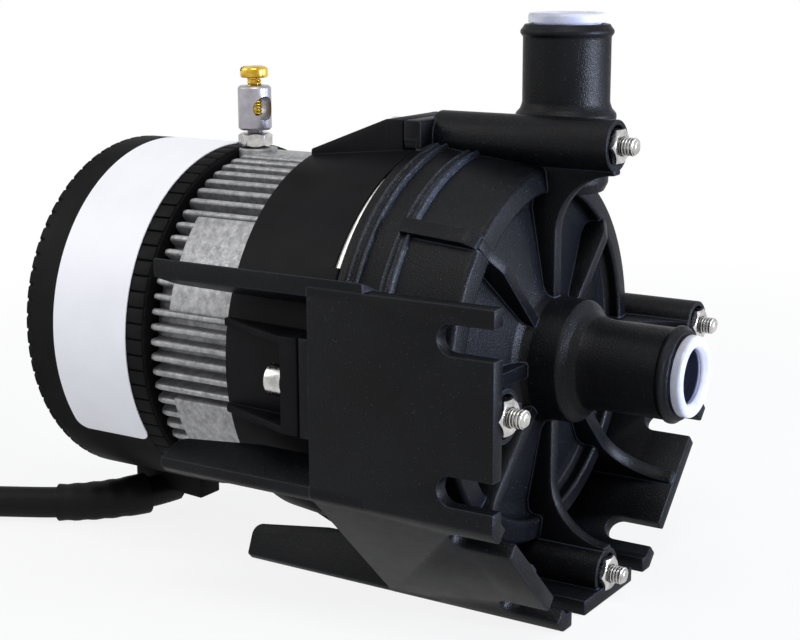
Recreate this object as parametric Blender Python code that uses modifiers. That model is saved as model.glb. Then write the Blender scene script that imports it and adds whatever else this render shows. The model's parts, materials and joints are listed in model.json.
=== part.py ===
"""Circulator pump with a magnetically driven rotor, a finned motor and a mains lead.

The frame is in metres with +Z up. +Y runs from the inlet port to the back of the motor and
+X points to the right-hand side. The origin is the middle of the underside of the bottom
foot, which the pump stands on. All sizes below are in millimetres. A station is a distance
behind the front faces of the casing nuts, measured along the pump axis, and a radius is
measured from that axis. Angles about the axis start at +X and pass through the top.
"""

import math

import bmesh
import bpy
from mathutils import Matrix, Vector

# General sizes
MM = 0.001
CLEARANCE = 0.3
OVERSHOOT = 2.0
RUNNING_GAP = 0.7
WELD = 1e-6
ROUND = 40
INNER_ROUND = 24
SMALL_ROUND = 20
TINY_ROUND = 12

# Angles about the pump axis, in degrees
RIGHT = 0
TOP = 90
LEFT = 180
BOTTOM = 270
BOSS_ANGLES = (RIGHT, TOP, LEFT, BOTTOM)
BOSS_NAMES = {RIGHT: "right", TOP: "top", LEFT: "left", BOTTOM: "bottom"}
FOOT_ANGLES = (180, 225, 270, 315)
RAIL_ANGLES = (157.5, 202.5, 247.5, 292.5)

# Feet and rails of the casing
FOOT_REACH = 53.0
FOOT_THICK = 3.5
FOOT_FRONT = 0.5
FOOT_LENGTH = 43.0
FOOT_SLOT_WIDTH = 6.0
FOOT_SLOT_DEPTH = 12.5
FOOT_SLOT_OFFSET = 15.0
RAIL_THICK = 3.8
RAIL_ROOT = 30.0
RAIL_BEND = 62.3
RAIL_REAR = 83.0
RAIL_END_DEPTH = 8.5
RAIL_END_ROUND = 3.0
RAIL_RING_GAP = 0.6

# Fasteners of the casing
BOLT_CIRCLE = 47.0
BOLT_RADIUS = 2.0
BOLT_HOLE_RADIUS = 2.3
BOLT_PROUD = 3.4
BOLT_HEAD_RADIUS = 3.5
BOLT_HEAD_LENGTH = 4.5
HEAD_POCKET_GAP = 0.5
HEAD_POCKET_PAST = 6.0
BOLT_SOCKET_RADIUS = 1.7
BOLT_SOCKET_DEPTH = 2.2
NUT_ACROSS_FLATS = 7.0
NUT_THICK = 3.2
BOSS_RADIUS = 5.5
BOSS_FRONT = 1.2
BOSS_POCKET_RADIUS = 4.4

# Casing drum, hub and ribs
RIM_FRONT = 16.5
RIM_INNER = 36.3
RIM_OUTER = 41.7
DRUM_TAPER = 0.15
DRUM_REAR = 44.3
POCKET_DEPTH = 4.0
POCKET_RISE = 3.7
HUB_RADIUS = 13.4
HUB_FRONT = 7.5
LIP_STATIONS = (33.0, 40.5)
LIP_HEIGHT = 0.5
LIP_WIDTH = 0.8
GROOVE_WIDTH = 1.2
GROOVE_DEPTH = 0.6
FLANGE_LIP_WIDTH = 2.0
BAR_ANGLE = 135
BAR_FRONT = 19.0
BAR_REAR = 33.0
BAR_WIDTH = 3.6
BAR_HEIGHT = 1.8
RIB_FRONT = 14.4
RIB_THICK = 2.6
ARCH_THICK = 3.4
ARCH_RADIUS = 13.6
ARCH_STEPS = 6
WALL_FRONT_THICK = 3.3

# Casing ears and the rear face seen by the motor
EAR_HALF_WIDTH = 10.5
EAR_EDGE = 4.0
EAR_REACH = BOLT_CIRCLE + EAR_EDGE
CASING_EAR_FRONT = 43.0
CASING_EAR_REAR = 47.2

# Ports
PORT_RADIUS = 9.8
PORT_BORE = 7.8
BEAD_RADIUS = 10.4
BEAD_LENGTH = 2.0
BEAD_FROM_END = 0.7
FLARE_LENGTH = 3.6
FLARE_RADIUS = 12.8
INLET_FRONT = -15.5
OUTLET_X = 18.5
OUTLET_STATION = 22.7
OUTLET_TOP = 71.0
OUTLET_FLARE_TOP = 53.5
OUTLET_FLARE_RADIUS = 11.3
OUTLET_ROOT = 33.0
THROAT_WIDTH = 14.0
THROAT_LENGTH = 6.0

# Wet end
CAN_SEAT_RADIUS = 40.8
CAN_SEAT_STEP = 2.6
CHAMBER_RADIUS = CAN_SEAT_RADIUS - CAN_SEAT_STEP
CAN_SEAT_DEPTH = 5.3
EYE_RADIUS = 10.6
EYE_DEPTH = 2.3
SPHERE_STATION = 38.0
CAN_INNER_RADIUS = 28.0
CAN_WALL = 0.8
CAN_FLANGE_THICK = 1.3
CAN_FLANGE_STATION = 41.4
SEAL_MARGIN = 1.3
SEAL_RADIUS = CAN_SEAT_RADIUS - SEAL_MARGIN
SEAL_SECTION = 0.9
ROTOR_FRONT = 33.6
ROTOR_REAR_OPENING = 9.0
ROTOR_BORE = 5.3
BALL_RADIUS = 2.5
POST_RADIUS = 1.9
CUP_REAR = 44.5
CUP_FRONT = 33.9
IMPELLER_RADIUS = 24.5
IMPELLER_FRONT = 24.6
IMPELLER_SHROUD_THICK = 1.6
IMPELLER_BACK_THICK = 2.3
IMPELLER_MOUTH_RADIUS = 10.1
IMPELLER_MOUTH_BORE = 8.5
IMPELLER_MOUTH_FRONT = 22.0
VANE_COUNT = 6
VANE_THICK = 1.8
VANE_SWEEP = 62.0
VANE_STEPS = 5
NOSE_RADIUS = 5.0

# Clamp ring
RING_REAR = 72.2
RING_REAR_RADIUS = 43.2
RING_BORE = 41.0
RING_EAR_THICK = 4.5
GUSSET_THICK = 1.8
WINDOW_START = 123.0
WINDOW_END = 148.0
WINDOW_WIDTH = 2.5

# Motor housing
FLANGE_RADIUS = 43.4
FLANGE_THICK = 3.7
FIN_COUNT = 72
FIN_FIRST_ANGLE = 2.0
FIN_TIP_RADIUS = 40.5
FIN_ROOT_RADIUS = 36.8
FIN_TIP_WIDTH = 1.5
FIN_ROOT_WIDTH = 2.0
FIN_REAR = 96.6
HOUSING_BORE = 33.5
BACK_WALL_FRONT = 86.0
BACK_WALL_THICK = 3.0
WIRE_HOLE_RADIUS = 5.0
SPIGOT_RADIUS = 35.8
SPIGOT_LENGTH = 3.4
PAD_RISE = 0.1
PAD_REAR = 90.5
TOP_PAD_REAR = 96.2
SIDE_PADS = ((134.5, 167.0), (196.0, 216.0), (13.0, 45.5), (324.0, 344.0))
TOP_PAD = (80.0, 97.0)
PAD_STEP = 4.0

# Bonding lug on top of the housing
LUG_X = -1.5
LUG_STATION = 94.6
LUG_SEAT = 41.4
LUG_BOSS_RADIUS = 4.6
LUG_STUD_RADIUS = 1.9
LUG_STUD_DEPTH = 3.6
LUG_NUT_THICK = 3.2
LUG_NECK = 0.7
LUG_RADIUS = 3.95
LUG_HEIGHT = 10.4
LUG_HOLE_RADIUS = 2.8
LUG_HOLE_TURN = 13.5
LUG_SCREW_RADIUS = 1.75
LUG_SCREW_HEAD_RADIUS = 3.3
LUG_SCREW_HEAD_THICK = 2.6
LUG_SCREW_PROUD = 1.9
LUG_SCREW_REACH = 1.9
LUG_SCREW_SLOT_WIDTH = 0.9
LUG_SCREW_SLOT_DEPTH = 1.1

# Stator and other pieces inside the housing
STATOR_RADIUS = 33.2
STATOR_FRONT = 47.0
STATOR_REAR = 62.0
STATOR_CAN_GAP = 0.5
WINDING_RADIUS = 31.5
WINDING_BORE = 16.0
WINDING_LENGTH = 11.6
WINDING_ROUND = 3.0
INSULATOR_THICK = 1.8
PROTECTOR_SIZE = (12.0, 4.0, 7.0)
PROTECTOR_HEIGHT = 22.0

# Rear cap and what it covers
CAP_RADIUS = 41.8
CAP_BAND_STEP = 0.6
CAP_BAND_RADIUS = CAP_RADIUS - CAP_BAND_STEP
CAP_BAND_LENGTH = 4.5
CAP_REAR = 132.4
CAP_CORNER = 1.4
CAP_WALL = 2.6
CAP_DISH_RADIUS = 33.0
CAP_DISH_DEPTH = 0.8
BOARD_MARGIN = 3.8
BOARD_RADIUS = CAP_RADIUS - CAP_WALL - BOARD_MARGIN
BOARD_THICK = 1.6
CAPACITOR_RADIUS = 8.5
CAPACITOR_LENGTH = 24.0
CAPACITOR_PLACE = (10.0, 12.0)
TERMINAL_SIZE = (7.0, 9.0, 9.0)
TERMINAL_PITCH = 11.0
TERMINAL_DROP = 12.0
LABEL_FRONT = 102.0
LABEL_LENGTH = 22.1
LABEL_START = 86.0
LABEL_END = 215.0
LABEL_RECESS = 0.4
LABEL_THICK = 0.25

# Port plugs
PLUG_FLANGE_RADIUS = 8.7
PLUG_FLANGE_THICK = 2.2
PLUG_DEPTH = 8.0
PLUG_WALL = 1.7

# Cord clamp block, boot, mains lead and plug
BLOCK_RIGHT = -0.8
BLOCK_LEFT_CORNERS = ((-8.3, 109.0), (-6.8, 123.0), (-6.5, 131.8))
BLOCK_THICK = 5.2
BLOCK_WRAP = 2.5
BLOCK_REACH = CAP_RADIUS + BLOCK_THICK
BLOCK_TOP_REACH = CAP_RADIUS - BLOCK_WRAP
BLOCK_STEM_RADIUS = 2.6
BLOCK_STEM_X = -4.4
BLOCK_STEM_STATION = 113.5
CORD_DIAMETER = 7.8
CORD_EXIT_DROP = 47.6
CORD_REST_DROP = 49.0
CORD_START_X = -2.0
CHANNEL_LENGTH = 12.0
BOOT_START_X = -9.6
BOOT_LENGTH = 22.0
BOOT_START_RADIUS = 5.2
BOOT_END_RADIUS = 4.7
CORD_SPACING = 6.0
COIL_X = -27.0
COIL_STATION = 250.0
COIL_RADIUS = 40.0
COIL_BOTTOM = 1.8
COIL_HEIGHT = 15.6
TIE_THICK = 1.2
TIE_WIDTH = 5.0
COIL_LEAVE = 27.0
TAIL_BEND = 32.0
TAIL_CLIMB = ((-5.5, 21.7), (0.0, 23.6), (8.0, 25.9), (16.0, 27.4))
TAIL_LEVEL_START = 24.0
TAIL_STRAIGHT = 3.0
PLUG_BODY = (30.0, 25.0, 20.0)
PLUG_BODY_EDGE = 3.0
PLUG_BOOT_LENGTH = 20.0
PLUG_BOOT_RADIUS = 6.5
PLUG_BOOT_TAPER = 17.0
BLADE_SIZE = (17.0, 1.5, 6.3)
BLADE_OFFSET = 6.3
BLADE_ROOT = 2.0
BLADE_RISE = 2.0
EARTH_PIN_RADIUS = 2.4
EARTH_PIN_LENGTH = 20.0
EARTH_PIN_DROP = 5.0

# Lengths that follow from the sizes above
AXIS_HEIGHT = FOOT_REACH
ORIGIN_STATION = FOOT_FRONT + FOOT_LENGTH / 2
RING_FRONT = DRUM_REAR + CLEARANCE
RING_EAR_FRONT = CASING_EAR_REAR + CLEARANCE
RING_EAR_REAR = RING_EAR_FRONT + RING_EAR_THICK
FLANGE_REAR = RING_FRONT + FLANGE_THICK
SEAT_STATION = DRUM_REAR - CAN_SEAT_DEPTH
POCKET_FLOOR = RIM_FRONT + POCKET_DEPTH
CHAMBER_FRONT = POCKET_FLOOR + WALL_FRONT_THICK
CAN_OUTER_RADIUS = CAN_INNER_RADIUS + CAN_WALL
CAN_FLANGE_REAR = CAN_FLANGE_STATION + CAN_FLANGE_THICK
ROTOR_RADIUS = CAN_INNER_RADIUS - RUNNING_GAP
CAP_FRONT = FIN_REAR + CLEARANCE
SPIGOT_REAR = FIN_REAR + SPIGOT_LENGTH
BOARD_FRONT = SPIGOT_REAR + CLEARANCE
BOARD_REAR = BOARD_FRONT + BOARD_THICK
CORD_RADIUS = CORD_DIAMETER / 2
COIL_HALF_WIDTH = CORD_DIAMETER
COIL_TURN_RADIUS = COIL_RADIUS + CORD_RADIUS
PLUG_STATION = COIL_STATION + COIL_RADIUS
TAIL_END_X = COIL_X - COIL_TURN_RADIUS + TAIL_BEND + TAIL_STRAIGHT
PLUG_X = TAIL_END_X + CLEARANCE
PLUG_HEIGHT = COIL_BOTTOM + COIL_HEIGHT + CLEARANCE + PLUG_BODY[2] / 2
PLUG_DROP = FOOT_REACH - PLUG_HEIGHT
BLADE_DROP = PLUG_DROP - BLADE_RISE
RIB_REAR = POCKET_FLOOR + WALL_FRONT_THICK / 2

PARTS = bpy.data.collections.new("circulator_pump")
CUTTERS = bpy.data.collections.new("cutters")


def world(x, station, height):
    """Point in metres from a sideways place, a station and a height above the pump axis."""
    return Vector((x, station - ORIGIN_STATION, height + AXIS_HEIGHT)) * MM


def axial_frame():
    """Placement of a shape that was turned about local Z: local Z becomes the pump axis."""
    frame = Matrix(((1, 0, 0, 0), (0, 0, 1, 0), (0, -1, 0, 0), (0, 0, 0, 1)))
    return Matrix.Translation(world(0, 0, 0)) @ frame


def upright_frame(x, station, height=0.0):
    """Placement of a shape that was turned about local Z and stays upright."""
    return Matrix.Translation(world(x, station, height))


def radial_frame(angle):
    """Placement of a flat outline of (station, radius) points in the plane at this angle."""
    c = math.cos(math.radians(angle))
    s = math.sin(math.radians(angle))
    frame = Matrix(((0, c, s, 0), (1, 0, 0, 0), (0, s, -c, 0), (0, 0, 0, 1)))
    return Matrix.Translation(world(0, 0, 0)) @ frame


def section_frame(station):
    """Placement of a flat outline of (x, height) points across the axis at this station."""
    frame = Matrix(((1, 0, 0, 0), (0, 0, -1, 0), (0, 1, 0, 0), (0, 0, 0, 1)))
    return Matrix.Translation(world(0, station, 0)) @ frame


def polar(radius, angle):
    """Sideways place and height of a point at this radius and angle about the pump axis."""
    turn = math.radians(angle)
    return radius * math.cos(turn), radius * math.sin(turn)


def clean(mesh):
    """Weld loose seams of a mesh and turn its faces outward."""
    shape = bmesh.new()
    shape.from_mesh(mesh)
    bmesh.ops.remove_doubles(shape, verts=shape.verts, dist=WELD)
    bmesh.ops.dissolve_degenerate(shape, edges=shape.edges, dist=WELD)
    bmesh.ops.recalc_face_normals(shape, faces=shape.faces)
    shape.to_mesh(mesh)
    shape.free()


def made_mesh(obj):
    """Turn an object with modifiers, or a curve, into a plain mesh object."""
    if obj.name not in CUTTERS.objects:
        CUTTERS.objects.link(obj)
    bpy.context.view_layer.update()
    evaluated = obj.evaluated_get(bpy.context.evaluated_depsgraph_get())
    mesh = bpy.data.meshes.new_from_object(evaluated)
    mesh.transform(obj.matrix_world)
    name = obj.name
    bpy.data.objects.remove(obj)
    clean(mesh)
    result = bpy.data.objects.new(name, mesh)
    CUTTERS.objects.link(result)
    return result


def placed(obj, frame):
    """Move the mesh of an object by a placement matrix."""
    obj.data.transform(frame)
    return obj


def turned(name, outline, segments=ROUND):
    """Solid turned about local Z from (radius, height) points that run up its outer side."""
    points = [(radius * MM, 0, height * MM) for radius, height in reversed(outline)]
    edges = [(i, i + 1) for i in range(len(points) - 1)]
    if outline[0][0] > 0:
        edges.append((len(points) - 1, 0))
    mesh = bpy.data.meshes.new(name)
    mesh.from_pydata(points, edges, [])
    obj = bpy.data.objects.new(name, mesh)
    screw = obj.modifiers.new("turn", "SCREW")
    screw.steps = round(segments)
    screw.render_steps = round(segments)
    screw.use_merge_vertices = True
    screw.merge_threshold = WELD
    return made_mesh(obj)


def axial(name, outline, segments=ROUND):
    """Turned solid on the pump axis from (radius, station) points, front to back."""
    return placed(turned(name, outline, segments), axial_frame())


def upright(name, outline, x, station, segments=SMALL_ROUND):
    """Turned solid on an upright axis from (radius, height above the pump axis) points."""
    return placed(turned(name, outline, segments), upright_frame(x, station))


def rod(name, radius, front, rear, x=0.0, height=0.0, segments=SMALL_ROUND):
    """Cylinder parallel to the pump axis between two stations."""
    outline = [(0, front), (radius, front), (radius, rear), (0, rear)]
    return placed(turned(name, outline, segments), Matrix.Translation(world(x, 0, height)
                  - world(0, 0, 0)) @ axial_frame())


def flat(name, outlines, thickness, frame):
    """Plate from closed flat outlines in millimetres, centred on its own plane."""
    curve = bpy.data.curves.new(name, "CURVE")
    curve.dimensions = "2D"
    curve.fill_mode = "BOTH"
    curve.extrude = thickness * MM / 2
    for outline in outlines:
        spline = curve.splines.new("POLY")
        spline.points.add(len(outline) - 1)
        spline.use_cyclic_u = True
        for point, (u, v) in zip(spline.points, outline):
            point.co = (u * MM, v * MM, 0, 1)
    return placed(made_mesh(bpy.data.objects.new(name, curve)), frame)


def prism(name, outlines, front, rear):
    """Solid with a constant (x, height) section between two stations."""
    return flat(name, outlines, rear - front, section_frame((front + rear) / 2))


def block(name, low, high):
    """Box between two corners, each given as (x, station, height)."""
    shape = bmesh.new()
    bmesh.ops.create_cube(shape, size=1.0)
    a = world(*low)
    b = world(*high)
    scale = Matrix.Diagonal((*(b - a), 1.0))
    bmesh.ops.transform(shape, matrix=Matrix.Translation((a + b) / 2) @ scale, verts=shape.verts)
    mesh = bpy.data.meshes.new(name)
    shape.to_mesh(mesh)
    shape.free()
    obj = bpy.data.objects.new(name, mesh)
    CUTTERS.objects.link(obj)
    return obj


def tool_group(name, tools):
    """Collection of solids that one Boolean works with."""
    group = bpy.data.collections.new(name)
    CUTTERS.children.link(group)
    for tool in tools:
        CUTTERS.objects.unlink(tool)
        group.objects.link(tool)
    return group


def combined(base, operation, tools):
    """Base solid after an exact Boolean with a list of other solids."""
    if not tools:
        return base
    group = tool_group(f"{base.name}_{operation.lower()}", tools)
    boolean = base.modifiers.new(operation.title(), "BOOLEAN")
    boolean.operation = operation
    boolean.operand_type = "COLLECTION"
    boolean.collection = group
    boolean.solver = "EXACT"
    result = made_mesh(base)
    for tool in tools:
        bpy.data.objects.remove(tool)
    bpy.data.collections.remove(group)
    return result


def joined(solids):
    """Union of several solids."""
    return combined(solids[0], "UNION", solids[1:])


def cut(solid, cutters):
    """Solid less its cutters."""
    return combined(solid, "DIFFERENCE", cutters)


def linear(channel):
    """One sRGB channel from 0 to 255 as a linear value."""
    value = channel / 255
    if value <= 0.04045:
        return value / 12.92
    return ((value + 0.055) / 1.055) ** 2.4


def material(name, colour, roughness, metallic=0.0, alpha=1.0):
    """Principled material from an sRGB hex colour."""
    result = bpy.data.materials.new(name)
    result.use_nodes = True
    shader = result.node_tree.nodes["Principled BSDF"]
    channels = [linear(int(colour[i:i + 2], 16)) for i in (1, 3, 5)]
    shader.inputs["Base Color"].default_value = (*channels, 1.0)
    shader.inputs["Roughness"].default_value = roughness
    shader.inputs["Metallic"].default_value = metallic
    shader.inputs["Alpha"].default_value = alpha
    return result


def finish(name, solid, finish_material, origin=(0.0, 0.0, 0.0), smooth=True):
    """Name a finished piece, give it its material and origin, and put it with the parts."""
    offset = world(*origin)
    solid.data.transform(Matrix.Translation(-offset))
    solid.location = offset
    solid.name = name
    solid.data.name = name
    solid.data.materials.clear()
    solid.data.materials.append(finish_material)
    if smooth:
        solid.data.shade_smooth()
        solid.data.set_sharp_from_angle(angle=math.radians(35))
    CUTTERS.objects.unlink(solid)
    PARTS.objects.link(solid)
    return solid


def drum_radius(station):
    """Outer radius of the tapered drum at a station."""
    return RIM_OUTER + DRUM_TAPER * (station - RIM_FRONT)


def ring_radius(station):
    """Outer radius of the tapered clamp ring at a station."""
    share = (station - RING_FRONT) / (RING_REAR - RING_FRONT)
    return drum_radius(DRUM_REAR) + share * (RING_REAR_RADIUS - drum_radius(DRUM_REAR))


def arc(centre, radius, start, end, steps):
    """Points of a flat arc between two angles in degrees."""
    points = []
    for i in range(steps + 1):
        turn = math.radians(start + (end - start) * i / steps)
        points.append((centre[0] + radius * math.cos(turn), centre[1] + radius * math.sin(turn)))
    return points


def sphere_radius(radius, station):
    """Distance from the pump axis of a sphere about the bearing ball at a station."""
    return math.sqrt(radius ** 2 - (station - SPHERE_STATION) ** 2)


def sphere_arc(radius, front, rear, steps):
    """(radius, station) points along a sphere about the bearing ball."""
    start = math.degrees(math.asin((front - SPHERE_STATION) / radius))
    end = math.degrees(math.asin((rear - SPHERE_STATION) / radius))
    return arc((0, SPHERE_STATION), radius, start, end, steps)


def port_tip(end, direction):
    """(radius, place) points of a port's beaded end, from its mouth inward."""
    bead = end + direction * BEAD_FROM_END
    return [
        (PORT_BORE, end),
        (PORT_RADIUS - 0.4, end),
        (PORT_RADIUS, bead),
        (BEAD_RADIUS, bead + direction * BEAD_LENGTH * 0.3),
        (BEAD_RADIUS, bead + direction * BEAD_LENGTH * 0.7),
        (PORT_RADIUS, bead + direction * BEAD_LENGTH),
    ]


def lip_outline(station):
    """(radius, station) points of one double lip with a groove, front to back."""
    start = station - GROOVE_WIDTH / 2 - LIP_WIDTH
    stops = [start, start + LIP_WIDTH, start + LIP_WIDTH + GROOVE_WIDTH]
    stops.append(stops[-1] + LIP_WIDTH)
    proud = [drum_radius(stop) + LIP_HEIGHT for stop in stops]
    sunk = drum_radius(station) - GROOVE_DEPTH
    return [
        (drum_radius(stops[0]), stops[0]),
        (proud[1], stops[1]),
        (sunk, stops[1] + 0.1),
        (sunk, stops[2] - 0.1),
        (proud[2], stops[2]),
        (drum_radius(stops[3]), stops[3]),
    ]


def casing_shell():
    """Inlet port, hub, front wall and drum of the casing as one turned shell."""
    flare_front = HUB_FRONT - FLARE_LENGTH
    hub_floor = POCKET_FLOOR - POCKET_RISE
    flange_edge = DRUM_REAR - FLANGE_LIP_WIDTH
    outline = port_tip(INLET_FRONT, 1)
    outline += [
        (PORT_RADIUS, flare_front),
        (PORT_RADIUS + 0.9, flare_front + FLARE_LENGTH * 0.6),
        (FLARE_RADIUS, HUB_FRONT - 0.2),
        (HUB_RADIUS, HUB_FRONT + 0.3),
        (HUB_RADIUS + 0.3, hub_floor - 1.0),
        (HUB_RADIUS + 1.6, hub_floor),
        (RIM_INNER - 2.0, POCKET_FLOOR),
        (RIM_INNER, POCKET_FLOOR),
        (RIM_INNER, RIM_FRONT),
        (RIM_OUTER - 0.6, RIM_FRONT),
        (RIM_OUTER, RIM_FRONT + 0.6),
    ]
    for station in LIP_STATIONS:
        outline += lip_outline(station)
    outline += [
        (drum_radius(flange_edge) - 0.2, flange_edge - 0.3),
        (drum_radius(flange_edge), flange_edge),
        (drum_radius(DRUM_REAR), DRUM_REAR),
        (CAN_SEAT_RADIUS, DRUM_REAR),
        (CAN_SEAT_RADIUS, SEAT_STATION),
        (CHAMBER_RADIUS, SEAT_STATION),
        (CHAMBER_RADIUS, CHAMBER_FRONT),
        (EYE_RADIUS, CHAMBER_FRONT),
        (EYE_RADIUS, CHAMBER_FRONT - EYE_DEPTH),
        (PORT_BORE, CHAMBER_FRONT - EYE_DEPTH),
    ]
    return axial("casing_shell", outline)


def outlet_solid():
    """Outer form of the upright outlet port and of the duct that feeds it."""
    flare_low = OUTLET_FLARE_TOP - FLARE_LENGTH
    tip = port_tip(OUTLET_TOP, -1)
    outline = [
        (0, OUTLET_ROOT - 3.0),
        (PORT_RADIUS * 0.5, OUTLET_ROOT - 3.0),
        (PORT_RADIUS, OUTLET_ROOT + 2.0),
        (PORT_RADIUS, flare_low - 2.0),
        (OUTLET_FLARE_RADIUS, flare_low),
        (OUTLET_FLARE_RADIUS, flare_low + FLARE_LENGTH * 0.3),
        (PORT_RADIUS, OUTLET_FLARE_TOP),
    ]
    outline += list(reversed(tip[1:]))
    outline.append((0, OUTLET_TOP))
    return upright("outlet", outline, OUTLET_X, OUTLET_STATION, ROUND)


def arch_rib(angle, reach, foot, thickness=ARCH_THICK):
    """Radial web with a hollowed front edge that ends at this reach from the axis."""
    bend = reach - ARCH_RADIUS
    start = RIB_FRONT - ARCH_RADIUS
    outline = [(RIB_FRONT, HUB_RADIUS - 1.5)]
    outline += arc((start, bend), ARCH_RADIUS, 0, 90, ARCH_STEPS)
    outline += foot
    outline.append((RIB_REAR, HUB_RADIUS - 1.5))
    return flat("arch_rib", [outline], thickness, radial_frame(angle))


def plain_rib(angle):
    """Radial web inside the rim."""
    edge = RIM_INNER + 2.0
    outline = [
        (RIB_FRONT, HUB_RADIUS - 1.5),
        (RIB_FRONT, RIM_INNER - 3.0),
        (RIM_FRONT - 0.4, edge),
        (RIB_REAR, edge),
        (RIB_REAR, HUB_RADIUS - 1.5),
    ]
    return flat("plain_rib", [outline], RIB_THICK, radial_frame(angle))


def casing_ribs():
    """Eight webs on the front of the casing: four to the bosses, two to slanted feet."""
    boss_inner = BOLT_CIRCLE - BOSS_RADIUS
    boss_foot = [(BOSS_FRONT, boss_inner + 2.5), (RIB_REAR, boss_inner + 2.5)]
    ribs = [arch_rib(angle, boss_inner - 0.7, boss_foot) for angle in BOSS_ANGLES]
    foot_inner = FOOT_REACH - FOOT_THICK
    rear = FOOT_FRONT + FOOT_LENGTH - 1.0
    plate_foot = [
        (FOOT_FRONT + 0.6, foot_inner + 1.5),
        (rear, foot_inner + 1.5),
        (rear, drum_radius(rear) - 1.5),
        (RIB_REAR, RIM_OUTER - 0.5),
    ]
    ribs += [arch_rib(angle, foot_inner - 0.9, plate_foot) for angle in (225, 315)]
    ribs += [plain_rib(angle) for angle in (45, 135)]
    return ribs


def foot_corner(reach, angle):
    """Corner of the eight-sided foot outline, on the line at this angle."""
    return polar(reach / math.cos(math.radians(22.5)), angle)


def foot_end(reach, plate_angle, side):
    """End point of the first or last foot plate, square to the plate."""
    half = FOOT_REACH * math.tan(math.radians(22.5))
    out = polar(reach, plate_angle)
    along = polar(half, plate_angle + side * 90)
    return out[0] + along[0], out[1] + along[1]


def foot_plates():
    """Four plates that share one eight-sided outline, from the left to the lower right."""
    inner = FOOT_REACH - FOOT_THICK
    outline = [foot_end(FOOT_REACH, FOOT_ANGLES[0], -1)]
    outline += [foot_corner(FOOT_REACH, angle) for angle in RAIL_ANGLES[1:]]
    outline.append(foot_end(FOOT_REACH, FOOT_ANGLES[-1], 1))
    outline.append(foot_end(inner, FOOT_ANGLES[-1], 1))
    outline += [foot_corner(inner, angle) for angle in reversed(RAIL_ANGLES[1:])]
    outline.append(foot_end(inner, FOOT_ANGLES[0], -1))
    return prism("foot_plates", [outline], FOOT_FRONT, FOOT_FRONT + FOOT_LENGTH)


def foot_slots():
    """Cutters of the open-ended slots, two in each foot plate."""
    cutters = []
    round_station = FOOT_FRONT + FOOT_SLOT_DEPTH - FOOT_SLOT_WIDTH / 2
    half = FOOT_SLOT_WIDTH / 2
    for angle in FOOT_ANGLES:
        for side in (-1, 1):
            middle = side * FOOT_SLOT_OFFSET
            outline = [(FOOT_FRONT - 2.0, middle - half)]
            outline += arc((round_station, middle), half, -90, 90, 8)
            outline.append((FOOT_FRONT - 2.0, middle + half))
            slot = flat("slot", [outline], FOOT_THICK * 1.6, Matrix.Identity(4))
            c, s = polar(1.0, angle)
            centre = FOOT_REACH - FOOT_THICK / 2
            frame = Matrix(((0, -s, c, 0), (1, 0, 0, 0), (0, c, s, 0), (0, 0, 0, 1)))
            place = Matrix.Translation(world(centre * c, 0, centre * s))
            cutters.append(placed(slot, place @ frame))
    return cutters


def rail(angle):
    """Tapered web behind a foot corner that passes beside the clamp ring."""
    corner = FOOT_REACH / math.cos(math.radians(22.5))
    end_inner = corner - RAIL_END_DEPTH
    beside_ring = ring_radius(RING_FRONT) + RAIL_RING_GAP
    outer = corner + 2.0
    rear_round = arc((RAIL_REAR - RAIL_END_ROUND, end_inner + RAIL_END_ROUND),
                     RAIL_END_ROUND, 0, -90, 4)
    outline = [(RAIL_ROOT, outer), (RAIL_REAR, outer)]
    outline += rear_round
    outline += [
        (RAIL_BEND, beside_ring),
        (DRUM_REAR - 1.0, beside_ring),
        (DRUM_REAR - 1.0, drum_radius(DRUM_REAR) - 2.0),
        (RAIL_ROOT, drum_radius(RAIL_ROOT) - 1.5),
    ]
    return flat("rail", [outline], RAIL_THICK, radial_frame(angle))


def foot_envelope():
    """Space inside the outer faces of the feet, carried straight on past the first and last."""
    past = 2 * FOOT_REACH * math.tan(math.radians(22.5))
    first = foot_end(FOOT_REACH, FOOT_ANGLES[0], -1)
    last = foot_end(FOOT_REACH, FOOT_ANGLES[-1], 1)
    ahead = polar(past, FOOT_ANGLES[-1] + 90)
    outline = [(first[0], first[1] + past)]
    outline += [foot_corner(FOOT_REACH, angle) for angle in RAIL_ANGLES[1:]]
    outline += [(last[0] + ahead[0], last[1] + ahead[1]), (0, OUTLET_TOP)]
    return prism("foot_envelope", [outline], RAIL_ROOT - 5.0, RAIL_REAR + 5.0)


def casing_ears():
    """Ear at each bolt, with the part behind the drum kept clear of the clamp ring."""
    step = drum_radius(DRUM_REAR) + CLEARANCE
    ears = []
    for angle in BOSS_ANGLES:
        outline = [
            (CASING_EAR_FRONT, drum_radius(CASING_EAR_FRONT) - 3.0),
            (DRUM_REAR - 0.05, drum_radius(CASING_EAR_FRONT) - 3.0),
            (DRUM_REAR - 0.05, step),
            (CASING_EAR_REAR, step),
            (CASING_EAR_REAR, EAR_REACH),
            (CASING_EAR_FRONT, EAR_REACH),
        ]
        ears.append(flat("ear", [outline], 2 * EAR_HALF_WIDTH, radial_frame(angle)))
    return ears


def casing_bosses():
    """Bolt tube along the drum at each ear."""
    bosses = []
    for angle in BOSS_ANGLES:
        x, height = polar(BOLT_CIRCLE, angle)
        bosses.append(rod("boss", BOSS_RADIUS, BOSS_FRONT, CASING_EAR_FRONT + 1.0, x, height))
    return bosses


def bolt_cutters(front, rear, radius=BOLT_HOLE_RADIUS):
    """Clearance cutters for the four bolts between two stations."""
    cutters = []
    for angle in BOSS_ANGLES:
        x, height = polar(BOLT_CIRCLE, angle)
        cutters.append(rod("bolt_cutter", radius, front, rear, x, height, TINY_ROUND))
    return cutters


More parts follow.
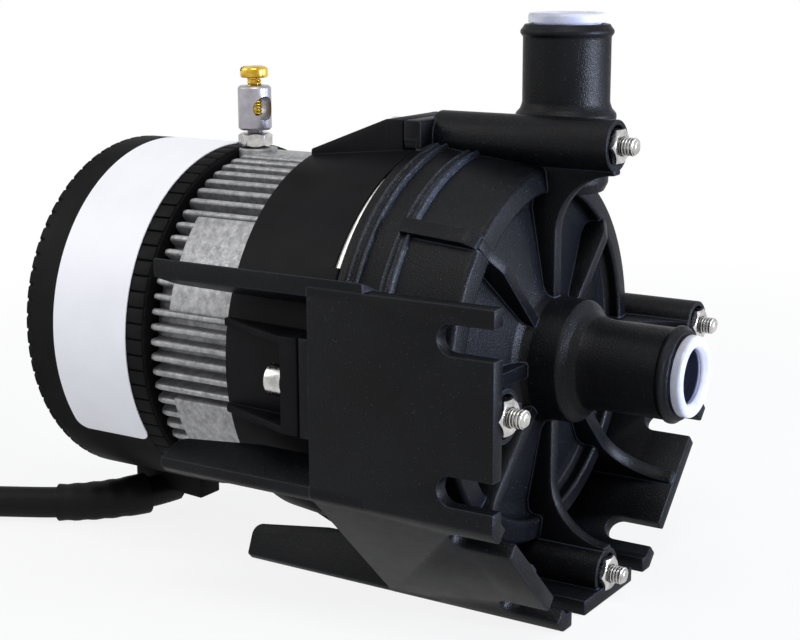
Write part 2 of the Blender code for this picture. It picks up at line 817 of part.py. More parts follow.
def drum_bar():
    """Raised bar along the drum that interrupts the first groove."""
    outline = [
        (BAR_FRONT, RIM_OUTER - 1.0),
        (BAR_FRONT, drum_radius(BAR_FRONT) + BAR_HEIGHT * 0.5),
        (BAR_FRONT + 3.0, drum_radius(BAR_FRONT) + BAR_HEIGHT),
        (BAR_REAR + 1.0, drum_radius(BAR_REAR) + BAR_HEIGHT),
        (BAR_REAR + 1.0, RIM_OUTER - 1.0),
    ]
    return flat("drum_bar", [outline], BAR_WIDTH, radial_frame(BAR_ANGLE))


def volute_casing(finish_material):
    """Moulded casing with its ports, ribs, bosses, feet and rails."""
    rails = joined([rail(angle) for angle in RAIL_ANGLES])
    rails = combined(rails, "INTERSECT", [foot_envelope()])
    solids = [casing_shell(), outlet_solid(), rails, foot_plates(), drum_bar()]
    solids += casing_ribs()
    solids += casing_bosses()
    solids += casing_ears()
    casing = joined(solids)
    bore = [(0, OUTLET_ROOT + 2.5), (PORT_BORE, OUTLET_ROOT + 2.5)]
    bore += [(PORT_BORE, OUTLET_TOP + 2.0), (0, OUTLET_TOP + 2.0)]
    half = THROAT_WIDTH / 2
    throat_front = CHAMBER_FRONT + 0.1
    throat_low = math.sqrt(CHAMBER_RADIUS ** 2 - (OUTLET_X + half) ** 2) - 1.0
    cutters = [
        upright("outlet_bore", bore, OUTLET_X, OUTLET_STATION, ROUND),
        block("throat", (OUTLET_X - half, throat_front, throat_low),
              (OUTLET_X + half, throat_front + THROAT_LENGTH, OUTLET_ROOT + 4.0)),
    ]
    cutters += foot_slots()
    cutters += bolt_cutters(BOSS_FRONT - 3.0, CASING_EAR_REAR + 3.0)
    cutters += bolt_cutters(BOSS_FRONT - 3.0, NUT_THICK + CLEARANCE, BOSS_POCKET_RADIUS)
    return finish("volute_casing", cut(casing, cutters), finish_material)


def ring_ear(angle):
    """Bolt ear of the clamp ring with a tapered gusset along each side."""
    root = RING_BORE + 0.5
    plate = [(RING_EAR_FRONT, root), (RING_EAR_FRONT, EAR_REACH)]
    plate += [(RING_EAR_REAR, EAR_REACH), (RING_EAR_REAR, root)]
    ear = flat("ring_ear", [plate], 2 * EAR_HALF_WIDTH, radial_frame(angle))
    side = [(RING_EAR_FRONT + 0.5, root), (RING_EAR_FRONT + 0.5, EAR_REACH)]
    side += [(RING_EAR_REAR, EAR_REACH), (RING_REAR - 0.1, RING_REAR_RADIUS + 0.05)]
    side.append((RING_REAR - 0.1, root))
    solids = [ear]
    for direction in (-1, 1):
        offset = direction * (EAR_HALF_WIDTH - GUSSET_THICK / 2)
        gusset = flat("gusset", [side], GUSSET_THICK,
                      radial_frame(angle) @ Matrix.Translation((0, 0, offset * MM)))
        solids.append(gusset)
    return solids


def ring_window():
    """Cutter of the crescent gap in the ring's front edge."""
    angles = [WINDOW_START + (WINDOW_END - WINDOW_START) * i / 5 for i in range(6)]
    outline = []
    for angle in angles:
        outline.append(polar(FLANGE_RADIUS - 1.0, angle))
    for angle in reversed(angles):
        outline.append(polar(drum_radius(DRUM_REAR) + 2.0, angle))
    front = RING_FRONT - 1.0
    wedge = prism("window", [outline], front, RING_FRONT + WINDOW_WIDTH)
    middle = world(0, RING_FRONT, 0)
    shear = math.tan(math.atan2(WINDOW_WIDTH, 2 * RIM_OUTER
                                * math.sin(math.radians((WINDOW_END - WINDOW_START) / 2))))
    chord = math.radians((WINDOW_START + WINDOW_END) / 2 + 90)
    start = Vector(polar(drum_radius(DRUM_REAR), WINDOW_END))
    along = Vector((math.cos(chord), math.sin(chord)))
    for vertex in wedge.data.vertices:
        local = vertex.co - middle
        if local.y > 0:
            reach = Vector((local.x / MM, local.z / MM)) - start
            vertex.co.y += shear * reach.dot(along) * MM
    return wedge


def clamp_ring(finish_material):
    """Ring that clamps the motor flange to the casing."""
    outline = [
        (ring_radius(RING_FRONT), RING_FRONT),
        (RING_REAR_RADIUS, RING_REAR),
        (RING_BORE, RING_REAR),
        (RING_BORE, FLANGE_REAR + CLEARANCE),
        (FLANGE_RADIUS + CLEARANCE, FLANGE_REAR + CLEARANCE),
        (FLANGE_RADIUS + CLEARANCE, RING_FRONT),
    ]
    solids = [axial("ring", outline)]
    for angle in BOSS_ANGLES:
        solids += ring_ear(angle)
    ring = joined(solids)
    cutters = bolt_cutters(RING_FRONT - 3.0, RING_EAR_REAR + 3.0)
    cutters += bolt_cutters(RING_EAR_REAR, RING_EAR_REAR + BOLT_HEAD_LENGTH + HEAD_POCKET_PAST,
                            BOLT_HEAD_RADIUS + HEAD_POCKET_GAP)
    cutters.append(rod("flange_cutter", FLANGE_RADIUS + CLEARANCE, RING_FRONT - 2.0,
                       FLANGE_REAR + CLEARANCE, segments=ROUND))
    cutters.append(ring_window())
    return finish("clamp_ring", cut(ring, cutters), finish_material)


def casing_bolts(finish_material):
    """Four socket-head bolts with their threaded ends in front of the nuts."""
    head_front = RING_EAR_REAR + CLEARANCE
    for angle in BOSS_ANGLES:
        x, height = polar(BOLT_CIRCLE, angle)
        outline = [
            (0, -BOLT_PROUD),
            (BOLT_RADIUS - 0.5, -BOLT_PROUD),
            (BOLT_RADIUS, -BOLT_PROUD + 0.6),
            (BOLT_RADIUS, head_front),
            (BOLT_HEAD_RADIUS, head_front),
            (BOLT_HEAD_RADIUS, head_front + BOLT_HEAD_LENGTH - 0.4),
            (BOLT_HEAD_RADIUS - 0.4, head_front + BOLT_HEAD_LENGTH),
            (BOLT_SOCKET_RADIUS, head_front + BOLT_HEAD_LENGTH),
            (BOLT_SOCKET_RADIUS, head_front + BOLT_HEAD_LENGTH - BOLT_SOCKET_DEPTH),
            (0, head_front + BOLT_HEAD_LENGTH - BOLT_SOCKET_DEPTH),
        ]
        bolt = turned("bolt", outline, TINY_ROUND)
        shift = Matrix.Translation(world(x, 0, height) - world(0, 0, 0))
        placed(bolt, shift @ axial_frame())
        finish(f"casing_bolt_{BOSS_NAMES[angle]}", bolt, finish_material, (x, 0, height))


def hexagon(across_flats):
    """Corners of a hexagon from its size across flats."""
    reach = across_flats / 2 / math.cos(math.radians(30))
    return [polar(reach, 60 * i) for i in range(6)]


def circle(radius, steps=TINY_ROUND):
    """Corners of a round outline."""
    return [polar(radius, 360 * i / steps) for i in range(steps)]


def nut_solid(thickness, frame):
    """Hexagon nut centred on a placement."""
    hole = circle(BOLT_RADIUS + CLEARANCE)
    return flat("nut", [hexagon(NUT_ACROSS_FLATS), hole], thickness, frame)


def casing_nuts(finish_material):
    """Four hexagon nuts in the boss pockets."""
    for angle in BOSS_ANGLES:
        x, height = polar(BOLT_CIRCLE, angle)
        shift = Matrix.Translation(world(x, 0, height) - world(0, 0, 0))
        nut = nut_solid(NUT_THICK, shift @ section_frame(NUT_THICK / 2))
        name = f"casing_nut_{BOSS_NAMES[angle]}"
        finish(name, nut, finish_material, (x, 0, height), smooth=False)


def fin_outline():
    """Section of the finned housing with one tooth for each fin."""
    points = []
    for i in range(FIN_COUNT):
        middle = FIN_FIRST_ANGLE + 360 * i / FIN_COUNT
        root = math.degrees(FIN_ROOT_WIDTH / 2 / FIN_ROOT_RADIUS)
        tip = math.degrees(FIN_TIP_WIDTH / 2 / FIN_TIP_RADIUS)
        points.append(polar(FIN_ROOT_RADIUS, middle - root))
        points.append(polar(FIN_TIP_RADIUS, middle - tip))
        points.append(polar(FIN_TIP_RADIUS, middle + tip))
        points.append(polar(FIN_ROOT_RADIUS, middle + root))
    return points


def pad_solid(start, end, rear):
    """Smooth pad between the fins over a range of angles."""
    steps = max(2, round((end - start) / PAD_STEP))
    angles = [start + (end - start) * i / steps for i in range(steps + 1)]
    outline = [polar(FIN_TIP_RADIUS + PAD_RISE, angle) for angle in angles]
    outline += [polar(FIN_ROOT_RADIUS - 1.5, angle) for angle in reversed(angles)]
    return prism("pad", [outline], FLANGE_REAR - 1.0, rear)


def motor_housing(finish_material):
    """Die-cast housing with its front flange, fins, smooth pads and rear spigot."""
    core = [
        (0, CAN_FLANGE_REAR + CLEARANCE),
        (CAN_SEAT_RADIUS - CLEARANCE, CAN_FLANGE_REAR + CLEARANCE),
        (CAN_SEAT_RADIUS - CLEARANCE, RING_FRONT),
        (FLANGE_RADIUS, RING_FRONT),
        (FLANGE_RADIUS, FLANGE_REAR),
        (FIN_ROOT_RADIUS - 0.8, FLANGE_REAR + 0.05),
        (FIN_ROOT_RADIUS - 0.8, FIN_REAR - 0.5),
        (SPIGOT_RADIUS, FIN_REAR - 0.5),
        (SPIGOT_RADIUS, SPIGOT_REAR),
        (0, SPIGOT_REAR),
    ]
    solids = [axial("core", core)]
    solids.append(prism("fins", [fin_outline()], FLANGE_REAR - 0.5, FIN_REAR))
    solids += [pad_solid(start, end, PAD_REAR) for start, end in SIDE_PADS]
    solids.append(pad_solid(*TOP_PAD, TOP_PAD_REAR))
    boss = [(0, FIN_ROOT_RADIUS), (LUG_BOSS_RADIUS, FIN_ROOT_RADIUS)]
    boss += [(LUG_BOSS_RADIUS, LUG_SEAT), (0, LUG_SEAT)]
    solids.append(upright("lug_boss", boss, LUG_X, LUG_STATION))
    housing = joined(solids)
    bore = [(0, CAN_FLANGE_STATION), (HOUSING_BORE, CAN_FLANGE_STATION)]
    bore += [(HOUSING_BORE, BACK_WALL_FRONT), (0, BACK_WALL_FRONT)]
    rear_bore = [(0, BACK_WALL_FRONT + BACK_WALL_THICK)]
    rear_bore += [(HOUSING_BORE, BACK_WALL_FRONT + BACK_WALL_THICK)]
    rear_bore += [(HOUSING_BORE, SPIGOT_REAR + 2.0), (0, SPIGOT_REAR + 2.0)]
    stud_low = LUG_SEAT - LUG_STUD_DEPTH - CLEARANCE
    stud = [(0, stud_low), (LUG_STUD_RADIUS + CLEARANCE, stud_low)]
    stud += [(LUG_STUD_RADIUS + CLEARANCE, LUG_SEAT + 2.0), (0, LUG_SEAT + 2.0)]
    cutters = [
        axial("bore", bore),
        axial("rear_bore", rear_bore),
        rod("wire_hole", WIRE_HOLE_RADIUS, BACK_WALL_FRONT - 2.0,
            BACK_WALL_FRONT + BACK_WALL_THICK + 2.0),
        upright("stud_hole", stud, LUG_X, LUG_STATION, TINY_ROUND),
        block("boss_trim", (LUG_X - LUG_BOSS_RADIUS * 2, FIN_REAR, SPIGOT_RADIUS + CLEARANCE),
              (LUG_X + LUG_BOSS_RADIUS * 2, FIN_REAR + LUG_BOSS_RADIUS * 2, LUG_SEAT + 2.0)),
    ]
    return finish("motor_housing", cut(housing, cutters), finish_material)


def bonding_nut(finish_material):
    """Hexagon nut that locks the bonding lug to the housing."""
    middle = LUG_SEAT + CLEARANCE + LUG_NUT_THICK / 2
    nut = nut_solid(LUG_NUT_THICK, upright_frame(LUG_X, LUG_STATION, middle))
    return finish("bonding_lug_nut", nut, finish_material, smooth=False)


def lug_low():
    """Height of the underside of the bonding lug's body above the pump axis."""
    return LUG_SEAT + CLEARANCE + LUG_NUT_THICK + LUG_NECK


def bonding_lug(finish_material):
    """Round lug body on a stud with a cross hole for the bonding wire."""
    low = lug_low()
    top = low + LUG_HEIGHT
    outline = [
        (0, LUG_SEAT - LUG_STUD_DEPTH),
        (LUG_STUD_RADIUS, LUG_SEAT - LUG_STUD_DEPTH),
        (LUG_STUD_RADIUS, low),
        (LUG_RADIUS - 0.4, low),
        (LUG_RADIUS, low + 0.4),
        (LUG_RADIUS, top - 0.4),
        (LUG_RADIUS - 0.4, top),
        (0, top),
    ]
    body = upright("lug", outline, LUG_X, LUG_STATION)
    middle = low + LUG_HEIGHT / 2
    turn = Matrix.Rotation(math.radians(-LUG_HOLE_TURN), 4, "Z")
    hole = turned("hole", [(0, -9), (LUG_HOLE_RADIUS, -9), (LUG_HOLE_RADIUS, 9), (0, 9)],
                  TINY_ROUND)
    lay = Matrix.Rotation(math.radians(90), 4, "X")
    placed(hole, upright_frame(LUG_X, LUG_STATION, middle) @ turn @ lay)
    thread = [(0, middle), (LUG_SCREW_RADIUS + CLEARANCE, middle)]
    thread += [(LUG_SCREW_RADIUS + CLEARANCE, top + 2.0), (0, top + 2.0)]
    body = cut(body, [hole, upright("thread", thread, LUG_X, LUG_STATION, TINY_ROUND)])
    return finish("bonding_lug_body", body, finish_material)


def bonding_screw(finish_material):
    """Brass clamping screw in the top of the bonding lug."""
    top = lug_low() + LUG_HEIGHT
    head = top + LUG_SCREW_PROUD
    tip = lug_low() + LUG_HEIGHT / 2 - LUG_SCREW_REACH
    outline = [
        (0, tip),
        (LUG_SCREW_RADIUS - 0.4, tip),
        (LUG_SCREW_RADIUS, tip + 0.5),
        (LUG_SCREW_RADIUS, head),
        (LUG_SCREW_HEAD_RADIUS - 0.2, head),
        (LUG_SCREW_HEAD_RADIUS, head + 0.3),
        (LUG_SCREW_HEAD_RADIUS, head + LUG_SCREW_HEAD_THICK - 0.5),
        (LUG_SCREW_HEAD_RADIUS - 0.5, head + LUG_SCREW_HEAD_THICK),
        (0, head + LUG_SCREW_HEAD_THICK),
    ]
    screw = upright("screw", outline, LUG_X, LUG_STATION, SMALL_ROUND)
    half = LUG_SCREW_SLOT_WIDTH / 2
    slot_low = head + LUG_SCREW_HEAD_THICK - LUG_SCREW_SLOT_DEPTH
    slot = block("slot", (LUG_X - 5, LUG_STATION - half, slot_low),
                 (LUG_X + 5, LUG_STATION + half, slot_low + 5))
    screw = cut(screw, [slot])
    return finish("bonding_lug_screw", screw, finish_material, (LUG_X, LUG_STATION, top))


def separation_can(finish_material):
    """Thin bowl that parts the wet rotor from the dry stator."""
    outer = CAN_SEAT_RADIUS - CLEARANCE
    back = SPHERE_STATION + CAN_INNER_RADIUS
    inner = sphere_arc(CAN_INNER_RADIUS, CAN_FLANGE_STATION, back, 8)
    skin = sphere_arc(CAN_OUTER_RADIUS, CAN_FLANGE_REAR, back + CAN_WALL, 8)
    outline = [(0, back)]
    outline += list(reversed(inner[:-1]))
    outline += [(outer, CAN_FLANGE_STATION), (outer, CAN_FLANGE_REAR)]
    outline += skin[:-1]
    outline.append((0, back + CAN_WALL))
    return finish("separation_can", axial("can", outline, INNER_ROUND), finish_material)


def casing_seal(finish_material):
    """Rubber ring between the casing and the flange of the separation can."""
    station = CAN_FLANGE_STATION - CLEARANCE / 2 - SEAL_SECTION
    outline = arc((SEAL_RADIUS, station), SEAL_SECTION, 0, 360, 6)[:-1]
    return finish("casing_seal", axial("seal", outline, INNER_ROUND), finish_material)


def bearing_post(finish_material):
    """Pin from the bottom of the separation can that carries the bearing ball."""
    front = SPHERE_STATION + BALL_RADIUS + CLEARANCE
    rear = SPHERE_STATION + sphere_radius(CAN_INNER_RADIUS, SPHERE_STATION + POST_RADIUS)
    post = rod("post", POST_RADIUS, front, rear - CLEARANCE, segments=TINY_ROUND)
    return finish("bearing_post", post, finish_material)


def bearing_ball(finish_material):
    """Ceramic ball that the rotor turns on."""
    front = SPHERE_STATION - BALL_RADIUS
    rear = SPHERE_STATION + BALL_RADIUS
    points = sphere_arc(BALL_RADIUS, front, rear, 8)
    outline = [(0, front)] + points[1:-1] + [(0, rear)]
    return finish("bearing_ball", axial("ball", outline, TINY_ROUND), finish_material)


def bearing_cup(finish_material):
    """Hard cup in the rotor that runs on the bearing ball."""
    seat = BALL_RADIUS + CLEARANCE
    outer = ROTOR_BORE - CLEARANCE
    points = sphere_arc(seat, SPHERE_STATION - seat, SPHERE_STATION, 5)
    outline = [(0, CUP_FRONT), (outer, CUP_FRONT), (outer, CUP_REAR)]
    outline += [(seat + 0.8, CUP_REAR)]
    outline += list(reversed(points[1:]))
    outline.append((0, SPHERE_STATION - seat))
    origin = (0, SPHERE_STATION, 0)
    return finish("bearing_cup", axial("cup", outline, SMALL_ROUND), finish_material, origin)


def rotor_magnet(finish_material):
    """Ball-shaped magnet rotor with an opening at the back for the bearing post."""
    rear = SPHERE_STATION + sphere_radius(ROTOR_RADIUS, SPHERE_STATION + ROTOR_REAR_OPENING)
    outline = [(ROTOR_BORE, ROTOR_FRONT)]
    outline += sphere_arc(ROTOR_RADIUS, ROTOR_FRONT, rear, 8)
    outline.append((ROTOR_BORE, CUP_REAR + 1.0))
    origin = (0, SPHERE_STATION, 0)
    return finish("rotor_magnet", axial("magnet", outline, INNER_ROUND), finish_material, origin)


def vane(angle, front, rear):
    """Swept impeller vane between its shrouds."""
    inner = NOSE_RADIUS + 2.5
    outer = IMPELLER_RADIUS - 0.6
    one_side = []
    other_side = []
    for i in range(VANE_STEPS + 1):
        share = i / VANE_STEPS
        radius = inner + (outer - inner) * share
        turn = angle + VANE_SWEEP * share
        half = math.degrees(VANE_THICK / 2 / radius)
        one_side.append(polar(radius, turn - half))
        other_side.append(polar(radius, turn + half))
    return prism("vane", [one_side + list(reversed(other_side))], front, rear)


def impeller(finish_material):
    """Closed impeller with a mouth ring, swept vanes and a rounded nose."""
    shroud_rear = IMPELLER_FRONT + IMPELLER_SHROUD_THICK
    back_rear = ROTOR_FRONT - CLEARANCE
    back_front = back_rear - IMPELLER_BACK_THICK
    shroud = [
        (IMPELLER_MOUTH_BORE, IMPELLER_MOUTH_FRONT),
        (IMPELLER_MOUTH_RADIUS, IMPELLER_MOUTH_FRONT),
        (IMPELLER_MOUTH_RADIUS, IMPELLER_FRONT),
        (IMPELLER_RADIUS, IMPELLER_FRONT),
        (IMPELLER_RADIUS, shroud_rear),
        (IMPELLER_MOUTH_BORE, shroud_rear),
    ]
    back = [
        (0, shroud_rear + 0.5),
        (NOSE_RADIUS * 0.6, shroud_rear + 1.0),
        (NOSE_RADIUS, back_front),
        (IMPELLER_RADIUS, back_front),
        (IMPELLER_RADIUS, back_rear),
        (0, back_rear),
    ]
    solids = [axial("shroud", shroud, SMALL_ROUND), axial("back", back, SMALL_ROUND)]
    for i in range(VANE_COUNT):
        solids.append(vane(360 * i / VANE_COUNT, shroud_rear - 0.4, back_front + 0.4))
    origin = (0, SPHERE_STATION, 0)
    return finish("impeller", joined(solids), finish_material, origin)


def stator_core(finish_material):
    """Stack of iron laminations with a ball-shaped bore around the separation can."""
    bore = sphere_arc(CAN_OUTER_RADIUS + STATOR_CAN_GAP, STATOR_FRONT, STATOR_REAR, 6)
    outline = [(STATOR_RADIUS, STATOR_FRONT), (STATOR_RADIUS, STATOR_REAR)]
    outline += list(reversed(bore))
    return finish("stator_core", axial("core", outline, INNER_ROUND), finish_material)


def stator_windings(finish_material):
    """Bundle of copper windings behind the laminations."""
    front = STATOR_REAR + CLEARANCE
    rear = front + WINDING_LENGTH
    r = WINDING_ROUND
    outline = arc((WINDING_RADIUS - r, rear - r), r, 0, 90, 2)
    outline += arc((WINDING_BORE + r, rear - r), r, 90, 180, 2)
    outline += arc((WINDING_BORE + r, front + r), r, 180, 270, 2)
    outline += arc((WINDING_RADIUS - r, front + r), r, 270, 360, 2)
    return finish("stator_windings", axial("windings", outline, INNER_ROUND), finish_material)


def insulator_front():
    """Station of the front face of the winding insulator."""
    return STATOR_REAR + CLEARANCE + WINDING_LENGTH + CLEARANCE


def winding_insulator(finish_material):
    """Insulating disc behind the windings."""
    front = insulator_front()
    rear = front + INSULATOR_THICK
    outline = [(WINDING_BORE, front), (STATOR_RADIUS, front), (STATOR_RADIUS, rear)]
    outline.append((WINDING_BORE, rear))
    disc = axial("insulator", outline, INNER_ROUND)
    return finish("winding_insulator", disc, finish_material)


def thermal_protector(finish_material):
    """Small cut-out that lies on the winding insulator."""
    width, length, height = PROTECTOR_SIZE
    front = insulator_front() + INSULATOR_THICK + CLEARANCE
    low = (-width / 2, front, PROTECTOR_HEIGHT - height / 2)
    high = (width / 2, front + length, PROTECTOR_HEIGHT + height / 2)
    body = block("protector", low, high)
    return finish("thermal_protector", body, finish_material, smooth=False)


def terminal_board(finish_material):
    """Round circuit board seated on the end of the housing."""
    board = rod("board", BOARD_RADIUS, BOARD_FRONT, BOARD_REAR, segments=ROUND)
    return finish("terminal_board", board, finish_material)


def run_capacitor(finish_material):
    """Round run capacitor on the terminal board."""
    x, height = CAPACITOR_PLACE
    front = BOARD_REAR + CLEARANCE
    can = rod("capacitor", CAPACITOR_RADIUS, front, front + CAPACITOR_LENGTH, x, height)
    return finish("run_capacitor", can, finish_material)


def line_terminals(finish_material):
    """Three terminal blocks for the mains lead on the terminal board."""
    width, length, height = TERMINAL_SIZE
    front = BOARD_REAR + CLEARANCE
    for place, wire in ((-1, "live"), (0, "earth"), (1, "neutral")):
        x = place * TERMINAL_PITCH
        low = (x - width / 2, front, -TERMINAL_DROP - height / 2)
        high = (x + width / 2, front + length, -TERMINAL_DROP + height / 2)
        terminal = block("terminal", low, high)
        finish(f"line_terminal_{wire}", terminal, finish_material, smooth=False)


def label_sector(inner, outer, front, rear):
    """Part of a thin tube over the label's range of angles."""
    steps = 24
    angles = [LABEL_START + (LABEL_END - LABEL_START) * i / steps for i in range(steps + 1)]
    outline = [polar(outer, angle) for angle in angles]
    outline += [polar(inner, angle) for angle in reversed(angles)]
    return prism("label", [outline], front, rear)


def rear_cap(finish_material):
    """Moulded cap behind the motor with a recess for the rating plate."""
    band_rear = CAP_FRONT + CAP_BAND_LENGTH
    corner = arc((CAP_RADIUS - CAP_CORNER, CAP_REAR - CAP_CORNER), CAP_CORNER, 0, 90, 5)
    inner_radius = CAP_RADIUS - CAP_WALL
    inner_rear = CAP_REAR - CAP_WALL
    outline = [
        (0, CAP_FRONT),
        (CAP_BAND_RADIUS - 0.5, CAP_FRONT),
        (CAP_BAND_RADIUS, CAP_FRONT + 0.5),
        (CAP_BAND_RADIUS, band_rear),
        (CAP_RADIUS, band_rear + 0.3),
    ]
    outline += corner
    outline += [
        (CAP_DISH_RADIUS + 1.0, CAP_REAR),
        (CAP_DISH_RADIUS, CAP_REAR - CAP_DISH_DEPTH),
        (0, CAP_REAR - CAP_DISH_DEPTH),
    ]
    inner = [
        (0, inner_rear),
        (inner_radius - 2.0, inner_rear),
        (inner_radius, inner_rear - 2.0),
        (inner_radius, BOARD_FRONT),
        (SPIGOT_RADIUS + CLEARANCE, BOARD_FRONT),
    ]
    solid = axial("cap", outline)
    hollow = [(0, CAP_FRONT - 2.0), (SPIGOT_RADIUS + CLEARANCE, CAP_FRONT - 2.0)]
    hollow += list(reversed(inner))
    hole = [(0, -BLOCK_REACH), (BLOCK_STEM_RADIUS + CLEARANCE, -BLOCK_REACH)]
    hole += [(BLOCK_STEM_RADIUS + CLEARANCE, -CAP_RADIUS * 0.8), (0, -CAP_RADIUS * 0.8)]
    recess_front = LABEL_FRONT - CLEARANCE
    recess_rear = LABEL_FRONT + LABEL_LENGTH + CLEARANCE
    cutters = [
        axial("hollow", hollow),
        upright("stem_hole", hole, BLOCK_STEM_X, BLOCK_STEM_STATION, TINY_ROUND),
        label_sector(CAP_RADIUS - LABEL_RECESS, CAP_RADIUS + 2.0, recess_front, recess_rear),
    ]
    return finish("rear_cap", cut(solid, cutters), finish_material)


def rating_plate(finish_material):
    """Blank white rating plate wrapped around the side of the cap."""
    inner = CAP_RADIUS - LABEL_RECESS + CLEARANCE * 0.6
    plate = label_sector(inner, inner + LABEL_THICK, LABEL_FRONT, LABEL_FRONT + LABEL_LENGTH)
    return finish("rating_plate", plate, finish_material)


def port_plug(rim):
    """(radius, depth) points of a hollow plug for a port whose mouth is at this depth."""
    body = PORT_BORE - CLEARANCE
    bore = body - PLUG_WALL
    return [
        (0, rim + PLUG_DEPTH - PLUG_WALL),
        (bore, rim + PLUG_DEPTH - PLUG_WALL),
        (bore, rim - PLUG_FLANGE_THICK - CLEARANCE),
        (PLUG_FLANGE_RADIUS - 0.5, rim - PLUG_FLANGE_THICK - CLEARANCE),
        (PLUG_FLANGE_RADIUS, rim - PLUG_FLANGE_THICK - CLEARANCE + 0.5),
        (PLUG_FLANGE_RADIUS, rim - CLEARANCE),
        (body, rim - CLEARANCE),
        (body, rim + PLUG_DEPTH - 0.5),
        (body - 0.5, rim + PLUG_DEPTH),
        (0, rim + PLUG_DEPTH),
    ]


def inlet_plug(finish_material):
    """Push-in plug in the inlet port."""
    plug = axial("inlet_plug", port_plug(INLET_FRONT), INNER_ROUND)
    return finish("inlet_plug", plug, finish_material, (0, INLET_FRONT, 0))


def outlet_plug(finish_material):
    """Push-in plug in the outlet port."""
    outline = [(radius, -depth) for radius, depth in port_plug(-OUTLET_TOP)]
    plug = upright("outlet_plug", list(reversed(outline)), OUTLET_X, OUTLET_STATION,
                   INNER_ROUND)
    origin = (OUTLET_X, OUTLET_STATION, OUTLET_TOP)
    return finish("outlet_plug", plug, finish_material, origin)


def smooth_route(points, spacing):
    """Evenly spaced points along a smooth curve through the route's own points."""
    ends = [2 * points[0] - points[1]] + points + [2 * points[-1] - points[-2]]
    dense = []
    for a, b, c, d in zip(ends, ends[1:], ends[2:], ends[3:]):
        for i in range(40):
            t = i / 40
            dense.append(0.5 * (2 * b + (c - a) * t + (2 * a - 5 * b + 4 * c - d) * t ** 2
                                + (3 * b - a - 3 * c + d) * t ** 3))
    dense.append(points[-1])
    lengths = [0.0]
    for a, b in zip(dense, dense[1:]):
        lengths.append(lengths[-1] + (b - a).length)
    count = max(2, round(lengths[-1] / (spacing * MM)))
    result = []
    index = 0
    for i in range(count + 1):
        target = lengths[-1] * i / count
        while index < len(lengths) - 2 and lengths[index + 1] < target:
            index += 1
        share = (target - lengths[index]) / (lengths[index + 1] - lengths[index])
        result.append(dense[index].lerp(dense[index + 1], min(1.0, max(0.0, share))))
    return result


def tube(name, points, radii, resolution=2):
    """Round tube along points, with a radius in millimetres at each."""
    curve = bpy.data.curves.new(name, "CURVE")
    curve.dimensions = "3D"
    curve.bevel_depth = MM
    curve.bevel_resolution = resolution
    curve.use_fill_caps = True
    spline = curve.splines.new("POLY")
    spline.points.add(len(points) - 1)
    for node, point, radius in zip(spline.points, points, radii):
        node.co = (*point, 1)
        node.radius = radius
    return made_mesh(bpy.data.objects.new(name, curve))


def lead_route():
    """Route of the lead from the clamp block to the coil, as points chosen by hand."""
    return [
        world(CORD_START_X, 122.8, -CORD_EXIT_DROP),
        world(-8.2, 124.2, -47.62),
        world(-15.7, 128.3, -47.9),
        world(-21.9, 134.6, -48.3),
        world(-26.6, 143.0, -48.8),
        world(-35.2, 159.4, -CORD_REST_DROP),
        world(-43.1, 168.5, -CORD_REST_DROP),
        world(-56.2, 183.6, -CORD_REST_DROP),
        world(-62.9, 193.0, -48.8),
        world(-67.3, 202.5, -48.4),
        world(-70.0, 212.6, -48.0),
        world(COIL_X - COIL_TURN_RADIUS, COIL_STATION - COIL_LEAVE, -47.8),
    ]


def tail_point(along, height):
    """Point past the start of the lead's last bend, at a height above the standing surface."""
    turn = max(0.0, along) / TAIL_BEND
    x = TAIL_END_X - TAIL_STRAIGHT - TAIL_BEND * math.cos(turn)
    station = PLUG_STATION - TAIL_BEND * (1 - math.sin(turn)) + min(0.0, along)
    return world(x, station, height - FOOT_REACH)


def tail_route():
    """Route of the lead up from its coil and round to the plug, which lies on the coil."""
    quarter = TAIL_BEND * math.pi / 2
    middle = (TAIL_LEVEL_START + quarter) / 2
    points = [tail_point(along, height) for along, height in TAIL_CLIMB]
    points += [tail_point(along, PLUG_HEIGHT) for along in (TAIL_LEVEL_START, middle, quarter)]
    return points + [world(TAIL_END_X, PLUG_STATION, -PLUG_DROP)]


def lead_channel(length):
    """Cutter of the space that the start of the lead takes, over this length."""
    points = smooth_route(lead_route(), CORD_SPACING)[:math.ceil(length / CORD_SPACING) + 1]
    step = (points[0] - points[1]).normalized() * CLEARANCE * MM
    points[0] = points[0] + step
    return tube("channel", points, [CORD_RADIUS + CLEARANCE] * len(points))


def power_cord(finish_material):
    """Lead from the clamp block to its coil."""
    points = smooth_route(lead_route(), CORD_SPACING)
    cord = tube("cord", points, [CORD_RADIUS] * len(points))
    return finish("power_cord", cord, finish_material)


def cord_tail(finish_material):
    """Lead between its coil and its plug."""
    points = smooth_route(tail_route(), CORD_SPACING)
    cord = tube("tail", points, [CORD_RADIUS] * len(points))
    return finish("cord_tail", cord, finish_material)


def cord_boot(finish_material):
    """Tapered strain relief around the lead beside the clamp block."""
    points = smooth_route(lead_route(), CORD_SPACING)
    start = world(BOOT_START_X, 0, 0).x
    first = next(i for i, point in enumerate(points) if point.x < start)
    inside = points[first - 1]
    share = (start - inside.x) / (points[first].x - inside.x)
    chosen = [inside.lerp(points[first], share)]
    chosen += points[first:first + round(BOOT_LENGTH / CORD_SPACING)]
    steps = len(chosen) - 1
    radii = [BOOT_START_RADIUS + (BOOT_END_RADIUS - BOOT_START_RADIUS) * i / steps
             for i in range(steps + 1)]
    outer = tube("boot", chosen, radii)
    hole = lead_channel(CHANNEL_LENGTH + BOOT_LENGTH * 1.2)
    return finish("cord_boot", cut(outer, [hole]), finish_material)


